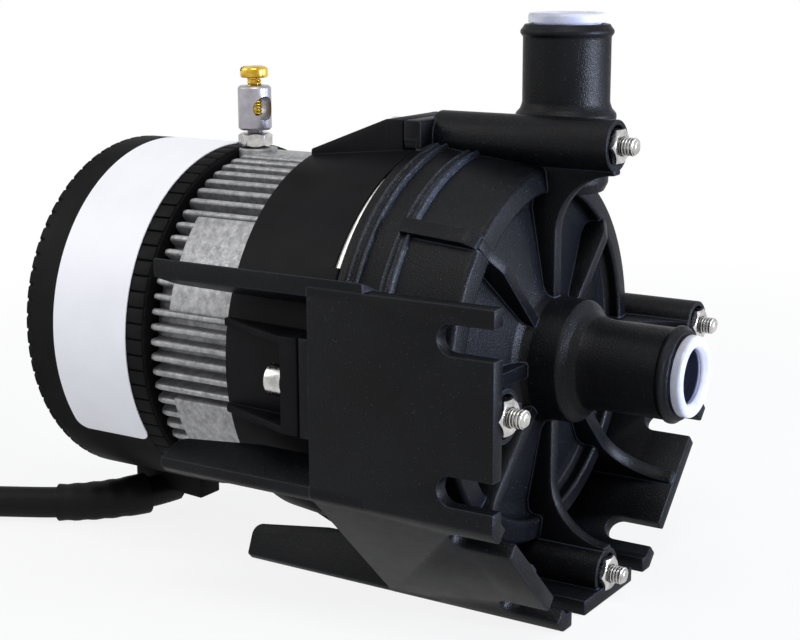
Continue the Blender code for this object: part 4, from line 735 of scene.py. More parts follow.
# Looks of the nodes that keep their own solids. Plain stock drifts in tone over 3 mm, under a
# 0.4 mm grain; steel laminations show at 0.5 mm and enamelled wire at 0.8 mm.
KEPT_SOLIDS: dict[str, Any] = {
    "separation_can": PlainStock("drawn_stainless", "#9fa0a3", "#c4c5c8", 0.3, 1.0),
    "bearing_post": PlainStock("ground_stainless", "#a5a6a8", "#cfd0d2", 0.2, 1.0),
    "bearing_ball": PlainStock("polished_ceramic", "#e4dfd2", "#f0ede4", 0.15),
    "bearing_cup": PlainStock("bearing_carbon", "#242427", "#323236", 0.4),
    "casing_seal": PlainStock("seal_rubber", "#131313", "#1b1b1b", 0.6),
    "rotor_magnet": PlainStock("coated_magnet", "#414248", "#54555b", 0.4),
    "impeller": PlainStock("impeller_resin", "#33343a", "#434449", 0.45),
    "stator_core": PlainStock("lamination_steel", "#5f6062", "#818284", 0.4, 1.0, 0.5),
    "stator_windings": PlainStock("enamelled_copper", "#8e4420", "#bd6a3a", 0.3, 1.0, 0.8),
    "winding_insulator": PlainStock("insulating_sheet", "#cfc5a2", "#e0d8ba", 0.6),
    "thermal_protector": PlainStock("protector_case", "#3a3a3c", "#4a4a4c", 0.5),
    "terminal_board": PlainStock("board_laminate", "#28502f", "#376642", 0.45),
    "run_capacitor": PlainStock("capacitor_case", "#7d7f82", "#97999c", 0.4),
    "line_terminal_live": TERMINAL_MOULDING,
    "line_terminal_earth": TERMINAL_MOULDING,
    "line_terminal_neutral": TERMINAL_MOULDING,
    "plug_blade_near": BLADE_BRASS,
    "plug_blade_far": BLADE_BRASS,
    "plug_earth_pin": BLADE_BRASS,
    "cord_tie": CORD_JACKET,
}


@cache
def made(finish: Any) -> bpy.types.Material:
    """Material of a finish, made once.

    Args:
        finish: One of the finish dataclasses.

    Returns:
        Its material.
    """
    return finish.build()


def mesh_object(name: str, shape: bmesh.types.BMesh, frame: Optional[Matrix] = None,
                smooth: bool = True) -> bpy.types.Object:
    """Object from a bmesh, with its place in the mesh.

    Args:
        name: Name of the object.
        shape: The bmesh, which is freed.
        frame: Placement of the shape.
        smooth: Whether round surfaces are shaded smooth.

    Returns:
        The object.
    """
    bmesh.ops.recalc_face_normals(shape, faces=shape.faces)
    if frame is not None:
        bmesh.ops.transform(shape, matrix=frame, verts=shape.verts)
    mesh = bpy.data.meshes.new(name)
    shape.to_mesh(mesh)
    shape.free()
    if smooth:
        mesh.shade_smooth()
        mesh.set_sharp_from_angle(angle=math.radians(SMOOTH_ANGLE))
    obj = bpy.data.objects.new(name, mesh)
    bpy.context.scene.collection.objects.link(obj)
    return obj


def turned(name: str, outline: Sequence[Point], frame: Matrix, segments: int = FINE_TURN,
           cut: float = 0.35) -> bpy.types.Object:
    """Solid turned about local Z from (radius, height) points.

    Args:
        name: Name of the object.
        outline: Closed outline, or an open one that starts and ends on the axis.
        frame: Placement of the solid.
        segments: Facets around the axis.
        cut: Rounding of the outline's corners.

    Returns:
        The object.
    """
    on_axis = outline[0][0] == 0
    points = softened(outline, cut, closed=not on_axis)
    shape = bmesh.new()
    rings = []
    for radius, height in points:
        if radius < TINY:
            rings.append([shape.verts.new((0, 0, height * MM))])
            continue
        ring = []
        for k in range(segments):
            x, y = polar(radius * MM, 360 * k / segments)
            ring.append(shape.verts.new((x, y, height * MM)))
        rings.append(ring)
    pairs = list(zip(rings, rings[1:]))
    if not on_axis:
        pairs.append((rings[-1], rings[0]))
    for one, two in pairs:
        for k in range(segments):
            after = (k + 1) % segments
            if len(one) == 1 and len(two) == 1:
                break
            if len(one) == 1:
                shape.faces.new((one[0], two[k], two[after]))
            elif len(two) == 1:
                shape.faces.new((one[k], two[0], one[after]))
            else:
                shape.faces.new((one[k], two[k], two[after], one[after]))
    return mesh_object(name, shape, frame)


def plate(name: str, outline: Sequence[Point], thickness: float, frame: Matrix,
          edge: float = 0.5) -> bpy.types.Object:
    """Plate centred on its own plane, with its edges rounded.

    Args:
        name: Name of the object.
        outline: Closed flat outline.
        thickness: Thickness of the plate.
        frame: Placement of the plate.
        edge: Width of the rounding of its edges.

    Returns:
        The object.
    """
    shape = bmesh.new()
    low = [shape.verts.new((u * MM, v * MM, -thickness * MM / 2)) for u, v in outline]
    face = shape.faces.new(low)
    grown = bmesh.ops.extrude_face_region(shape, geom=[face])
    top = [item for item in grown["geom"] if isinstance(item, bmesh.types.BMVert)]
    bmesh.ops.translate(shape, verts=top, vec=(0, 0, thickness * MM))
    bmesh.ops.recalc_face_normals(shape, faces=shape.faces)
    if edge > 0:
        soften_edges(shape, edge)
    return mesh_object(name, shape, frame)


def soften_edges(shape: bmesh.types.BMesh, width: float, least: float = 28.0) -> None:
    """Round the sharp edges of a closed shape.

    Args:
        shape: Shape to change.
        width: Width of the rounding.
        least: Smallest angle in degrees that counts as sharp.
    """
    sharp = [edge for edge in shape.edges if len(edge.link_faces) == 2
             and edge.calc_face_angle(0.0) > math.radians(least)]
    bmesh.ops.bevel(shape, geom=sharp, offset=width * MM, segments=ROUND_FACETS, profile=0.5,
                    affect="EDGES", clamp_overlap=True)


def edged_box(name: str, low: Vector, high: Vector, edge: float) -> bpy.types.Object:
    """Box between two corners in metres, with rounded edges.

    Args:
        name: Name of the object.
        low: Lowest corner.
        high: Highest corner.
        edge: Width of the rounding.

    Returns:
        The object.
    """
    shape = bmesh.new()
    bmesh.ops.create_cube(shape, size=1.0)
    size = high - low
    grow = Matrix.Translation((low + high) / 2) @ Matrix.Diagonal((*size, 1.0))
    bmesh.ops.transform(shape, matrix=grow, verts=shape.verts)
    soften_edges(shape, edge)
    return mesh_object(name, shape)


def lofted(name: str, rows: Sequence[Sequence[Vector]]) -> bpy.types.Object:
    """Closed solid through rows of points in metres, capped at both ends.

    Args:
        name: Name of the object.
        rows: Rings of points, all of the same length.

    Returns:
        The object.
    """
    shape = bmesh.new()
    rings = [[shape.verts.new(point) for point in row] for row in rows]
    count = len(rings[0])
    for one, two in zip(rings, rings[1:]):
        for k in range(count):
            after = (k + 1) % count
            shape.faces.new((one[k], one[after], two[after], two[k]))
    shape.faces.new(rings[0])
    shape.faces.new(rings[-1])
    return mesh_object(name, shape)


def along_axis(distance: float) -> Matrix:
    """Move along local Z.

    Args:
        distance: Length of the move.

    Returns:
        The placement.
    """
    return Matrix.Translation((0, 0, distance * MM))


def turned_by(angle: float, axis: str = "Z") -> Matrix:
    """Rotation about a local axis.

    Args:
        angle: Angle in degrees.
        axis: Name of the axis.

    Returns:
        The placement.
    """
    return Matrix.Rotation(math.radians(angle), 4, axis)


def settled(obj: bpy.types.Object) -> bpy.types.Object:
    """Apply everything on an object and leave a plain mesh at the origin.

    Args:
        obj: Object with modifiers or a curve.

    Returns:
        The plain mesh object.
    """
    bpy.context.view_layer.update()
    evaluated = obj.evaluated_get(bpy.context.evaluated_depsgraph_get())
    mesh = bpy.data.meshes.new_from_object(evaluated)
    mesh.transform(obj.matrix_world)
    name = obj.name
    bpy.data.objects.remove(obj)
    result = bpy.data.objects.new(name, mesh)
    bpy.context.scene.collection.objects.link(result)
    return result


def carved(base: bpy.types.Object, tools: Sequence[bpy.types.Object],
           operation: str = "DIFFERENCE", edge: float = 0.0) -> bpy.types.Object:
    """Base solid after an exact Boolean with other solids, which are removed.

    Args:
        base: Solid to change.
        tools: Cutting or limiting solids.
        operation: Boolean operation.
        edge: Rounding of the edges afterwards.

    Returns:
        The changed solid.
    """
    for tool in tools:
        step = base.modifiers.new("carve", "BOOLEAN")
        step.operation = operation
        step.object = tool
        step.solver = "EXACT"
    base = settled(base)
    for tool in tools:
        bpy.data.objects.remove(tool)
    shape = bmesh.new()
    shape.from_mesh(base.data)
    bmesh.ops.remove_doubles(shape, verts=shape.verts, dist=TINY)
    if edge > 0:
        bmesh.ops.dissolve_limit(shape, angle_limit=math.radians(1), verts=shape.verts,
                                 edges=shape.edges)
        soften_edges(shape, edge)
    shape.to_mesh(base.data)
    shape.free()
    base.data.shade_smooth()
    base.data.set_sharp_from_angle(angle=math.radians(SMOOTH_ANGLE))
    return base


def together(name: str, solids: Sequence[bpy.types.Object]) -> bpy.types.Object:
    """One object from several closed solids.

    Args:
        name: Name of the object.
        solids: Objects to gather, which are removed.

    Returns:
        The gathered object.
    """
    shape = bmesh.new()
    for solid in solids:
        shape.from_mesh(solid.data)
        bpy.data.objects.remove(solid)
    mesh = bpy.data.meshes.new(name)
    shape.to_mesh(mesh)
    shape.free()
    obj = bpy.data.objects.new(name, mesh)
    bpy.context.scene.collection.objects.link(obj)
    return obj


def dressed(obj: bpy.types.Object, finish: Any, body: Body, slot: str,
            *nodes: str) -> bpy.types.Object:
    """Give a finished piece its material, its body and the nodes that it stands for.

    Args:
        obj: Finished piece.
        finish: Its finish.
        body: Body that it rides on.
        slot: Material slot of the record; not used.
        nodes: Nodes that it replaces.

    Returns:
        The piece.
    """
    obj.data.materials.clear()
    obj.data.materials.append(made(finish))
    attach(obj, body.value)
    if nodes:
        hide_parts(*nodes)
    count = len(obj.data.polygons) if obj.type == "MESH" else 0
    log.info("%s on %s with %s, %d faces", obj.name, body.value, finish.name, count)
    return obj


class NodeTree:
    """Geometry Nodes tree with named inputs that ends in one mesh."""

    def __init__(self, name: str) -> None:
        """Start an empty tree.

        Args:
            name: Name of the tree.
        """
        self.tree = bpy.data.node_groups.new(name, "GeometryNodeTree")
        self.entry = self.tree.nodes.new("NodeGroupInput")
        self.sockets: dict[str, str] = {}

    def take(self, name: str, kind: str = "NodeSocketFloat") -> None:
        """Declare an input of the tree.

        Args:
            name: Name of the input.
            kind: Socket type.
        """
        socket = self.tree.interface.new_socket(name, in_out="INPUT", socket_type=kind)
        self.sockets[name] = socket.identifier

    def add(self, kind: str, inputs: Optional[dict[Any, Any]] = None,
            **settings: Any) -> bpy.types.Node:
        """Add a node to the tree."""
        return add_node(self.tree, kind, inputs, **settings)

    def given(self, name: str) -> bpy.types.NodeSocket:
        """Socket of a declared input."""
        return self.entry.outputs[name]

    def finish(self, geometry: bpy.types.NodeSocket) -> None:
        """Realize the result, give it its material and end the tree.

        Args:
            geometry: Geometry to put out.
        """
        self.tree.interface.new_socket("Geometry", in_out="OUTPUT",
                                       socket_type="NodeSocketGeometry")
        real = self.add("GeometryNodeRealizeInstances", {0: geometry})
        painted = self.add("GeometryNodeSetMaterial", {
            "Geometry": real.outputs[0], "Material": self.given("Material")})
        leave = self.tree.nodes.new("NodeGroupOutput")
        self.tree.links.new(painted.outputs[0], leave.inputs[0])

    def grow(self, name: str, values: dict[str, Any]) -> bpy.types.Object:
        """Run the tree once and keep its mesh.

        Args:
            name: Name of the new object.
            values: Values of the inputs.

        Returns:
            A plain mesh object.
        """
        holder = bpy.data.objects.new(name, bpy.data.meshes.new(name))
        bpy.context.scene.collection.objects.link(holder)
        modifier = holder.modifiers.new("nodes", "NODES")
        modifier.node_group = self.tree
        for key, value in values.items():
            modifier[self.sockets[key]] = value
        return settled(holder)


def ring_tree() -> NodeTree:
    """Tree that sets copies of one piece in a ring about local Z.

    Returns:
        The tree, with inputs Count, First Angle, Piece and Material.
    """
    nodes = NodeTree("ring_of_pieces")
    nodes.take("Count", "NodeSocketInt")
    nodes.take("First Angle")
    nodes.take("Piece", "NodeSocketObject")
    nodes.take("Material", "NodeSocketMaterial")
    points = nodes.add("GeometryNodePoints", {"Count": nodes.given("Count")})
    index = nodes.add("GeometryNodeInputIndex")
    step = nodes.add("ShaderNodeMath", {0: math.tau, 1: nodes.given("Count")},
                     operation="DIVIDE")
    turn = nodes.add("ShaderNodeMath", {
        0: index.outputs[0], 1: step.outputs[0], 2: nodes.given("First Angle")},
        operation="MULTIPLY_ADD")
    spin = nodes.add("ShaderNodeCombineXYZ", {"Z": turn.outputs[0]})
    piece = nodes.add("GeometryNodeObjectInfo", {"Object": nodes.given("Piece")})
    copies = nodes.add("GeometryNodeInstanceOnPoints", {
        "Points": points.outputs[0], "Instance": piece.outputs["Geometry"],
        "Rotation": spin.outputs[0]})
    nodes.finish(copies.outputs[0])
    return nodes


def ringed(rings: NodeTree, name: str, piece: bpy.types.Object, count: int,
           material: bpy.types.Material, first: float = 0.0) -> bpy.types.Object:
    """Copies of one piece in a ring about the pump axis.

    Args:
        rings: Tree that sets pieces in a ring.
        name: Name of the ring.
        piece: The piece at angle 0 about local Z, which is removed.
        count: Number of copies.
        material: Their material.
        first: Angle of the first copy in degrees.

    Returns:
        The ring.
    """
    ring = rings.grow(name, {"Count": count, "First Angle": math.radians(first),
                             "Piece": piece, "Material": material})
    bpy.data.objects.remove(piece)
    ring.data.transform(axial_frame())
    return ring


def thread_tree() -> NodeTree:
    """Tree that winds a screw thread's ridge about local Z.

    Returns:
        The tree, with inputs Radius, Depth, Pitch, Turns and Material.
    """
    nodes = NodeTree("screw_thread")
    for name in ("Radius", "Depth", "Pitch", "Turns"):
        nodes.take(name)
    nodes.take("Material", "NodeSocketMaterial")
    length = nodes.add("ShaderNodeMath", {0: nodes.given("Pitch"), 1: nodes.given("Turns")},
                       operation="MULTIPLY")
    coil = nodes.add("GeometryNodeCurveSpiral", {
        "Resolution": 28, "Rotations": nodes.given("Turns"),
        "Start Radius": nodes.given("Radius"), "End Radius": nodes.given("Radius"),
        "Height": length.outputs[0]})
    ridge = nodes.add("GeometryNodeCurvePrimitiveCircle", {
        "Resolution": 4, "Radius": nodes.given("Depth")}, mode="RADIUS")
    swept = nodes.add("GeometryNodeCurveToMesh", {
        "Curve": coil.outputs[0], "Profile Curve": ridge.outputs[0], "Fill Caps": True})
    nodes.finish(swept.outputs[0])
    return nodes


@dataclass
class ThreadCutter:
    """Makes screw threads from one shared tree."""

    tree: NodeTree = field(default_factory=thread_tree)

    def wind(self, radius: float, pitch: float, length: float, frame: Matrix,
             material: bpy.types.Material) -> bpy.types.Object:
        """Thread ridge about local Z from its origin upward.

        Args:
            radius: Outer radius of the thread.
            pitch: Distance between turns.
            length: Threaded length.
            frame: Placement of the thread.
            material: Its material.

        Returns:
            The ridge as a mesh object.
        """
        depth = pitch * 0.42
        ridge = self.tree.grow("thread", {
            "Radius": (radius - depth) * MM, "Depth": depth * MM, "Pitch": pitch * MM,
            "Turns": length / pitch, "Material": material})
        ridge.data.transform(frame)
        return ridge


@dataclass
class PumpCasing:
    """Black moulded casing with ports, webs, bosses, slotted feet and rails."""

    bore: float = 7.8
    port: float = 9.8
    bead: float = 10.4
    bead_from_end: float = 0.7
    hub: float = 13.4
    hub_front: float = 7.5
    rim_front: float = 16.5
    rim_inner: float = 36.3
    rim_outer: float = 41.7
    taper: float = 0.15
    rear: float = 44.3
    pocket_floor: float = 20.5
    chamber: float = 38.2
    chamber_front: float = 23.8
    seat: float = 40.8
    seat_station: float = 39.0
    lips: tuple[float, ...] = (33.0, 40.5)
    boss: float = 5.5
    boss_pocket: float = 4.4
    boss_front: float = 1.2
    pocket_end: float = 3.5
    ear_front: float = 43.0
    ear_rear: float = 47.2
    foot_reach: float = 53.0
    foot_thick: float = 3.5
    foot_front: float = 0.5
    foot_rear: float = 43.5
    slot_width: float = 6.0
    slot_depth: float = 12.5
    slot_offset: float = 15.0
    rail_thick: float = 3.8
    rail_root: float = 30.0
    rail_rear: float = 83.0
    rail_depth: float = 8.5
    rail_bend: float = 62.3
    rail_gap: float = 0.6
    step: float = 0.06
    rib_front: float = 14.4
    web_rear: float = 22.0
    web_root: float = 1.5
    web_thick: float = 2.6
    arch: float = 13.6
    arch_steps: int = 24
    arch_thick: float = 3.4
    bolt_hole: float = 2.3
    cheek_thick: float = 1.5
    lip_rise: float = 0.95
    bar_angle: float = 135.0
    bar_ends: Point = (17.3, 34.0)
    bar_rise: float = 1.8
    bar_width: float = 3.6
    foot_angles: tuple[float, ...] = (180, 225, 270, 315)
    foot_bends: tuple[float, ...] = (202.5, 247.5, 292.5)
    rail_angles: tuple[float, ...] = (157.5, 202.5, 247.5, 292.5)

    def drum(self, station: float) -> float:
        """Outer radius of the tapered drum at a station."""
        return self.rim_outer + self.taper * (station - self.rim_front)

    def tip(self, end: float, way: float) -> list[Point]:
        """Beaded end of a port.

        Args:
            end: Place of the mouth.
            way: 1 if the port runs on in the positive direction, else -1.

        Returns:
            Outline points from the mouth inward.
        """
        start = end + way * self.bead_from_end
        return [(self.bore, end), (self.port - 0.3, end), (self.port, start),
                (self.bead, start + way * 0.6), (self.bead, start + way * 1.4),
                (self.port, start + way * 2.0)]

    def lip(self, station: float) -> bpy.types.Object:
        """Double lip around the drum with a groove between its ridges.

        Args:
            station: Middle of its groove.

        Returns:
            The lip.
        """
        base = self.drum(station)
        crest = base + self.lip_rise
        half = [(base - 0.6, 1.7), (crest, 1.4), (crest, 0.85), (base + 0.04, 0.35)]
        outline = [(radius, station - aside) for radius, aside in half]
        outline += [(radius, station + aside) for radius, aside in reversed(half)]
        return turned("lip", outline, axial_frame(), cut=0.22)

    def shell(self) -> bpy.types.Object:
        """Inlet port, hub, front wall and drum as one turned shell.

        Returns:
            The shell.
        """
        flare = self.hub_front - 3.6
        outline = self.tip(INLET_FRONT, 1)
        outline += [(self.port, flare - 2.0), (self.port + 0.5, flare + 1.0),
                    (self.port + 1.6, flare + 2.6), (self.hub - 0.6, self.hub_front),
                    (self.hub, self.hub_front + 0.6), (self.hub + 0.2, 14.6),
                    (self.hub + 0.9, 16.2), (self.hub + 2.6, 17.2),
                    (self.rim_inner - 3.4, self.pocket_floor - 0.3),
                    (self.rim_inner - 0.9, self.pocket_floor - 0.5),
                    (self.rim_inner, self.pocket_floor - 1.6),
                    (self.rim_inner, self.rim_front + 0.5),
                    (self.rim_inner + 0.6, self.rim_front),
                    (self.rim_outer - 0.7, self.rim_front + 0.55),
                    (self.rim_outer, self.rim_front + 1.3)]
        outline += [(self.drum(self.rear) - 0.25, self.rear - 2.2),
                    (self.drum(self.rear), self.rear - 1.9),
                    (self.drum(self.rear), self.rear), (self.seat, self.rear),
                    (self.seat, self.seat_station), (self.chamber, self.seat_station),
                    (self.chamber, self.chamber_front), (self.bore, self.chamber_front)]
        return turned("shell", outline, axial_frame(), cut=0.3)

    def outlet(self) -> bpy.types.Object:
        """Upright outlet port with its flared foot.

        Returns:
            The port.
        """
        tip = self.tip(OUTLET_TOP, -1)
        outline = [(self.bore, 34.0), (self.port - 1.0, 34.0), (self.port, 36.0),
                   (self.port, 47.6), (self.port + 0.9, 49.3), (self.port + 1.5, 50.2),
                   (self.port + 1.45, 51.4), (self.port + 0.5, 52.4), (self.port, 53.8)]
        outline += list(reversed(tip))
        return turned("outlet", outline, upright_frame(OUTLET_X, OUTLET_STATION),
                      cut=0.4)

    def arch_web(self, angle: float, reach: float, foot: Sequence[Point]) -> bpy.types.Object:
        """Radial web with a hollowed front edge.

        Args:
            angle: Angle about the axis.
            reach: Radius at which the arch ends.
            foot: Remaining points behind the arch.

        Returns:
            The web.
        """
        root = self.hub - self.web_root
        outline = [(self.rib_front, root)]
        outline += arc((self.rib_front - self.arch, reach - self.arch), self.arch, 0, 90,
                       self.arch_steps)
        outline += [*foot, (self.web_rear, root)]
        return plate("arch_web", outline, self.arch_thick, radial_frame(angle), 0.9)

    def plain_web(self, angle: float) -> bpy.types.Object:
        """Radial web inside the rim.

        Args:
            angle: Angle about the axis.

        Returns:
            The web.
        """
        edge = self.rim_inner + 1.5
        root = self.hub - self.web_root
        outline = [(self.rib_front, root), (self.rib_front, self.rim_inner - 3.0),
                   (self.rim_front - 0.2, edge)]
        if angle == self.bar_angle:
            edge = self.rim_outer + 0.3
            outline.append((self.rim_front + 0.3, edge))
        outline += [(self.web_rear, edge), (self.web_rear, root)]
        return plate("plain_web", softened(outline, 0.8), self.web_thick, radial_frame(angle),
                     0.8)

    def webs(self) -> list[bpy.types.Object]:
        """Eight webs between the hub, the rim, the bosses and two slanted feet.

        Returns:
            The webs.
        """
        inner = BOLT_CIRCLE - self.boss
        boss_foot = [(self.boss_front + 0.4, inner + 2.5), (self.web_rear, inner + 2.5)]
        found = [self.arch_web(corner.value, inner - 0.7, boss_foot) for corner in Corner]
        reach = self.foot_reach - self.foot_thick
        rear = self.foot_rear - 1.0
        foot = [(self.foot_front + 0.6, reach + 1.5), (rear, reach + 1.5),
                (rear, self.drum(rear) - 1.5), (self.web_rear, self.rim_outer - 0.5)]
        found += [self.arch_web(angle, reach - 0.9, foot) for angle in (225, 315)]
        return found + [self.plain_web(angle) for angle in (45.0, self.bar_angle)]

    def bosses(self) -> list[bpy.types.Object]:
        """Bolt tube and ear at each corner.

        Returns:
            The tubes and ears.
        """
        found = []
        for corner in Corner:
            x, height = polar(BOLT_CIRCLE, corner.value)
            rear = self.ear_front + 1.0
            tube = [(self.bolt_hole, self.pocket_end), (self.boss_pocket, self.pocket_end),
                    (self.boss_pocket, self.boss_front), (self.boss, self.boss_front),
                    (self.boss, rear), (self.bolt_hole, rear)]
            found.append(turned("boss", tube, axial_frame(x, height), 64, 0.35))
            inner = self.drum(self.rear) - 3.0
            step = self.drum(self.rear) + 0.3
            ear = [(self.ear_front, inner), (self.rear - 0.05, inner), (self.rear - 0.05, step),
                   (self.ear_rear, step), (self.ear_rear, EAR_REACH),
                   (self.ear_front, EAR_REACH)]
            frame = radial_frame(corner.value)
            found.append(plate("ear", softened(ear, 0.5), 2 * EAR_HALF, frame, 0.6))
            cheek = [(self.rear - 0.3, step - 1.15), (self.ear_rear - 0.1, step - 1.15),
                     (self.ear_rear - 0.1, step + 0.8), (self.rear - 0.3, step + 0.8)]
            for aside in (0.85 - EAR_HALF, EAR_HALF - 0.85):
                found.append(plate("cheek", cheek, self.cheek_thick,
                                   frame @ along_axis(aside), 0.1))
        return found

    def square_end(self, reach: float, angle: float, side: float) -> Point:
        """End of the first or last foot plate.

        Args:
            reach: Distance of the face from the axis.
            angle: Angle of the plate.
            side: Which end of the plate.

        Returns:
            The point.
        """
        half = self.foot_reach * math.tan(math.radians(HALF_CORNER))
        out = polar(reach, angle)
        along = polar(half, angle + side * 90)
        return out[0] + along[0], out[1] + along[1]

    def faces(self, reach: float) -> list[Point]:
        """Corners of the feet's faces, from the left one round to the last.

        Args:
            reach: Distance of the faces from the axis.

        Returns:
            The corners.
        """
        corner = reach / math.cos(math.radians(HALF_CORNER))
        return [self.square_end(reach, self.foot_angles[0], -1),
                *(polar(corner, angle) for angle in self.foot_bends),
                self.square_end(reach, self.foot_angles[-1], 1)]

    def feet(self) -> bpy.types.Object:
        """Four foot plates with two open-ended slots each.

        Returns:
            The plates as one solid.
        """
        inner = self.foot_reach - self.foot_thick
        outline = self.faces(self.foot_reach) + self.faces(inner)[::-1]
        middle = (self.foot_front + self.foot_rear) / 2
        strip = plate("feet", outline, self.foot_rear - self.foot_front, section_frame(middle),
                      0.0)
        return carved(strip, self.slots(), edge=0.45)

    def slots(self) -> list[bpy.types.Object]:
        """Cutters of the foot slots.

        Returns:
            Eight cutters.
        """
        found = []
        half = self.slot_width / 2
        end = self.foot_front + self.slot_depth - half
        for angle in self.foot_angles:
            c, s = polar(1.0, angle)
            centre = self.foot_reach - self.foot_thick / 2
            turn = Matrix(((0, -s, c, 0), (1, 0, 0, 0), (0, c, s, 0), (0, 0, 0, 1)))
            frame = Matrix.Translation(place(centre * c, 0, centre * s)) @ turn
            for middle in (-self.slot_offset, self.slot_offset):
                outline = [(self.foot_front - 2, middle - half)]
                outline += arc((end, middle), half, -90, 90, 16)
                outline.append((self.foot_front - 2, middle + half))
                found.append(plate("slot", outline, self.foot_thick * 1.6, frame, 0.0))
        return found

    def rails(self) -> bpy.types.Object:
        """Four tapered rails behind the corners of the feet.

        Returns:
            The rails as one object.
        """
        corner = self.foot_reach / math.cos(math.radians(HALF_CORNER))
        inner = corner - self.rail_depth
        beside = self.drum(self.rear) + self.rail_gap
        outline = [(self.rail_root, corner + 2.0), (self.rail_rear, corner + 2.0)]
        outline += arc((self.rail_rear - 3.0, inner + 3.0), 3.0, 0, -90, 8)
        outline += [(self.rail_bend, beside), (self.rear - 1.0, beside),
                    (self.rear - 1.0, self.drum(self.rear) - 2.0),
                    (self.rail_root, self.drum(self.rail_root) - 1.5)]
        found = []
        for angle in self.rail_angles:
            rail = plate("rail", outline, self.rail_thick, radial_frame(angle), 0.0)
            found.append(carved(rail, [self.envelope()], "INTERSECT", 0.4))
        return together("rails", found)

    def envelope(self) -> bpy.types.Object:
        """Space inside the outer faces of the feet.

        Returns:
            The limiting solid.
        """
        reach = self.foot_reach - self.step
        past = 2 * reach * math.tan(math.radians(HALF_CORNER))
        first, *corners, last = self.faces(reach)
        ahead = polar(past, self.foot_angles[-1] + 90)
        outline = [(first[0], first[1] + past), *corners,
                   (last[0] + ahead[0], last[1] + ahead[1]), (0.0, OUTLET_TOP)]
        middle = (self.rail_root + self.rail_rear) / 2
        length = self.rail_rear - self.rail_root + 10.0
        return plate("envelope", outline, length, section_frame(middle), 0.0)

    def bar(self) -> bpy.types.Object:
        """Raised bar along the drum.

        Returns:
            The bar.
        """
        low = self.rim_outer - 1.0
        front, rear = self.bar_ends
        outline = [(front, low), (front, self.drum(front) + 0.4),
                   (front + 2.3, self.drum(front + 1.7) + self.bar_rise),
                   (rear, self.drum(rear - 1.0) + self.bar_rise), (rear, low)]
        return plate("bar", softened(outline, 0.6), self.bar_width,
                     radial_frame(self.bar_angle), 0.7)

    def build(self) -> None:
        """Make the casing as one piece."""
        solids = [self.shell(), self.outlet(), self.feet(), self.rails(), self.bar()]
        solids += self.webs()
        solids += self.bosses()
        casing = together("casing_moulding", solids)
        dressed(casing, CASING_PLASTIC, Body.PUMP, "casing_black", "volute_casing")
        # The lips take a paler material: painted highlight.
        lips = together("drum_lips", [self.lip(station) for station in self.lips])
        dressed(lips, LIP_PAINTED_HIGHLIGHT, Body.PUMP, "casing_black")


@dataclass
class ClampRing:
    """Ring that clamps the motor to the casing, with four gusseted ears."""

    front: float = HOUSING_FRONT
    rear: float = 72.2
    front_radius: float = 45.87
    rear_radius: float = 43.2
    bore: float = 41.0
    recess: float = 43.7
    recess_rear: float = 48.6
    ear_front: float = 47.5
    ear_rear: float = 52.0
    gusset: float = 1.8
    step: float = 0.06
    window_width: float = 1.3
    window_least: float = 0.03
    window_steps: int = 14

    def ring(self) -> bpy.types.Object:
        """Tapered ring with the crescent gap in its front edge.

        Returns:
            The ring.
        """
        outline = [(self.front_radius, self.front), (self.rear_radius, self.rear),
                   (self.bore, self.rear), (self.bore, self.recess_rear),
                   (self.recess, self.recess_rear), (self.recess, self.front)]
        return carved(turned("ring", outline, axial_frame(), cut=0.4), [self.window()])

    def window(self) -> bpy.types.Object:
        """Cutter of the crescent gap.

        Returns:
            The cutter.
        """
        inner = self.recess - 1.5
        outer = self.front_radius + 2.0
        ahead = self.front - 1.0
        rows = []
        for i in range(self.window_steps + 1):
            share = i / self.window_steps
            least = self.window_least
            behind = self.front + self.window_width * (least + (1 - least) * share)
            section = ((inner, ahead), (inner, behind), (outer, behind), (outer, ahead))
            rows.append(around(section, GAP_START + (GAP_END - GAP_START) * share))
        return lofted("window", rows)

    def ear(self, angle: float) -> list[bpy.types.Object]:
        """Ear at one bolt with a gusset along each side.

        Args:
            angle: Angle of the bolt about the axis.

        Returns:
            The ear's solids.
        """
        root = self.bore + 0.6
        tab = [(self.ear_front, root), (self.ear_front, EAR_REACH),
               (self.ear_rear, EAR_REACH), (self.ear_rear, root)]
        found = [plate("tab", tab, 2 * EAR_HALF, radial_frame(angle), 0.5)]
        crest = EAR_REACH - self.step
        side = [(self.ear_front + 0.3, root), (self.ear_front + 0.3, crest),
                (self.ear_rear, crest), (self.rear - 0.1, self.rear_radius + 0.05),
                (self.rear - 0.1, root)]
        reach = EAR_HALF - self.gusset / 2 - self.step
        for aside in (-reach, reach):
            found.append(plate("gusset", side, self.gusset,
                               radial_frame(angle) @ along_axis(aside), 0.35))
        return found

    def build(self) -> None:
        """Make the ring as one piece."""
        solids = [self.ring()]
        for corner in Corner:
            solids += self.ear(corner.value)
        ring = together("clamp_ring_moulding", solids)
        dressed(ring, RING_PLASTIC, Body.PUMP, "ring_black", "clamp_ring")


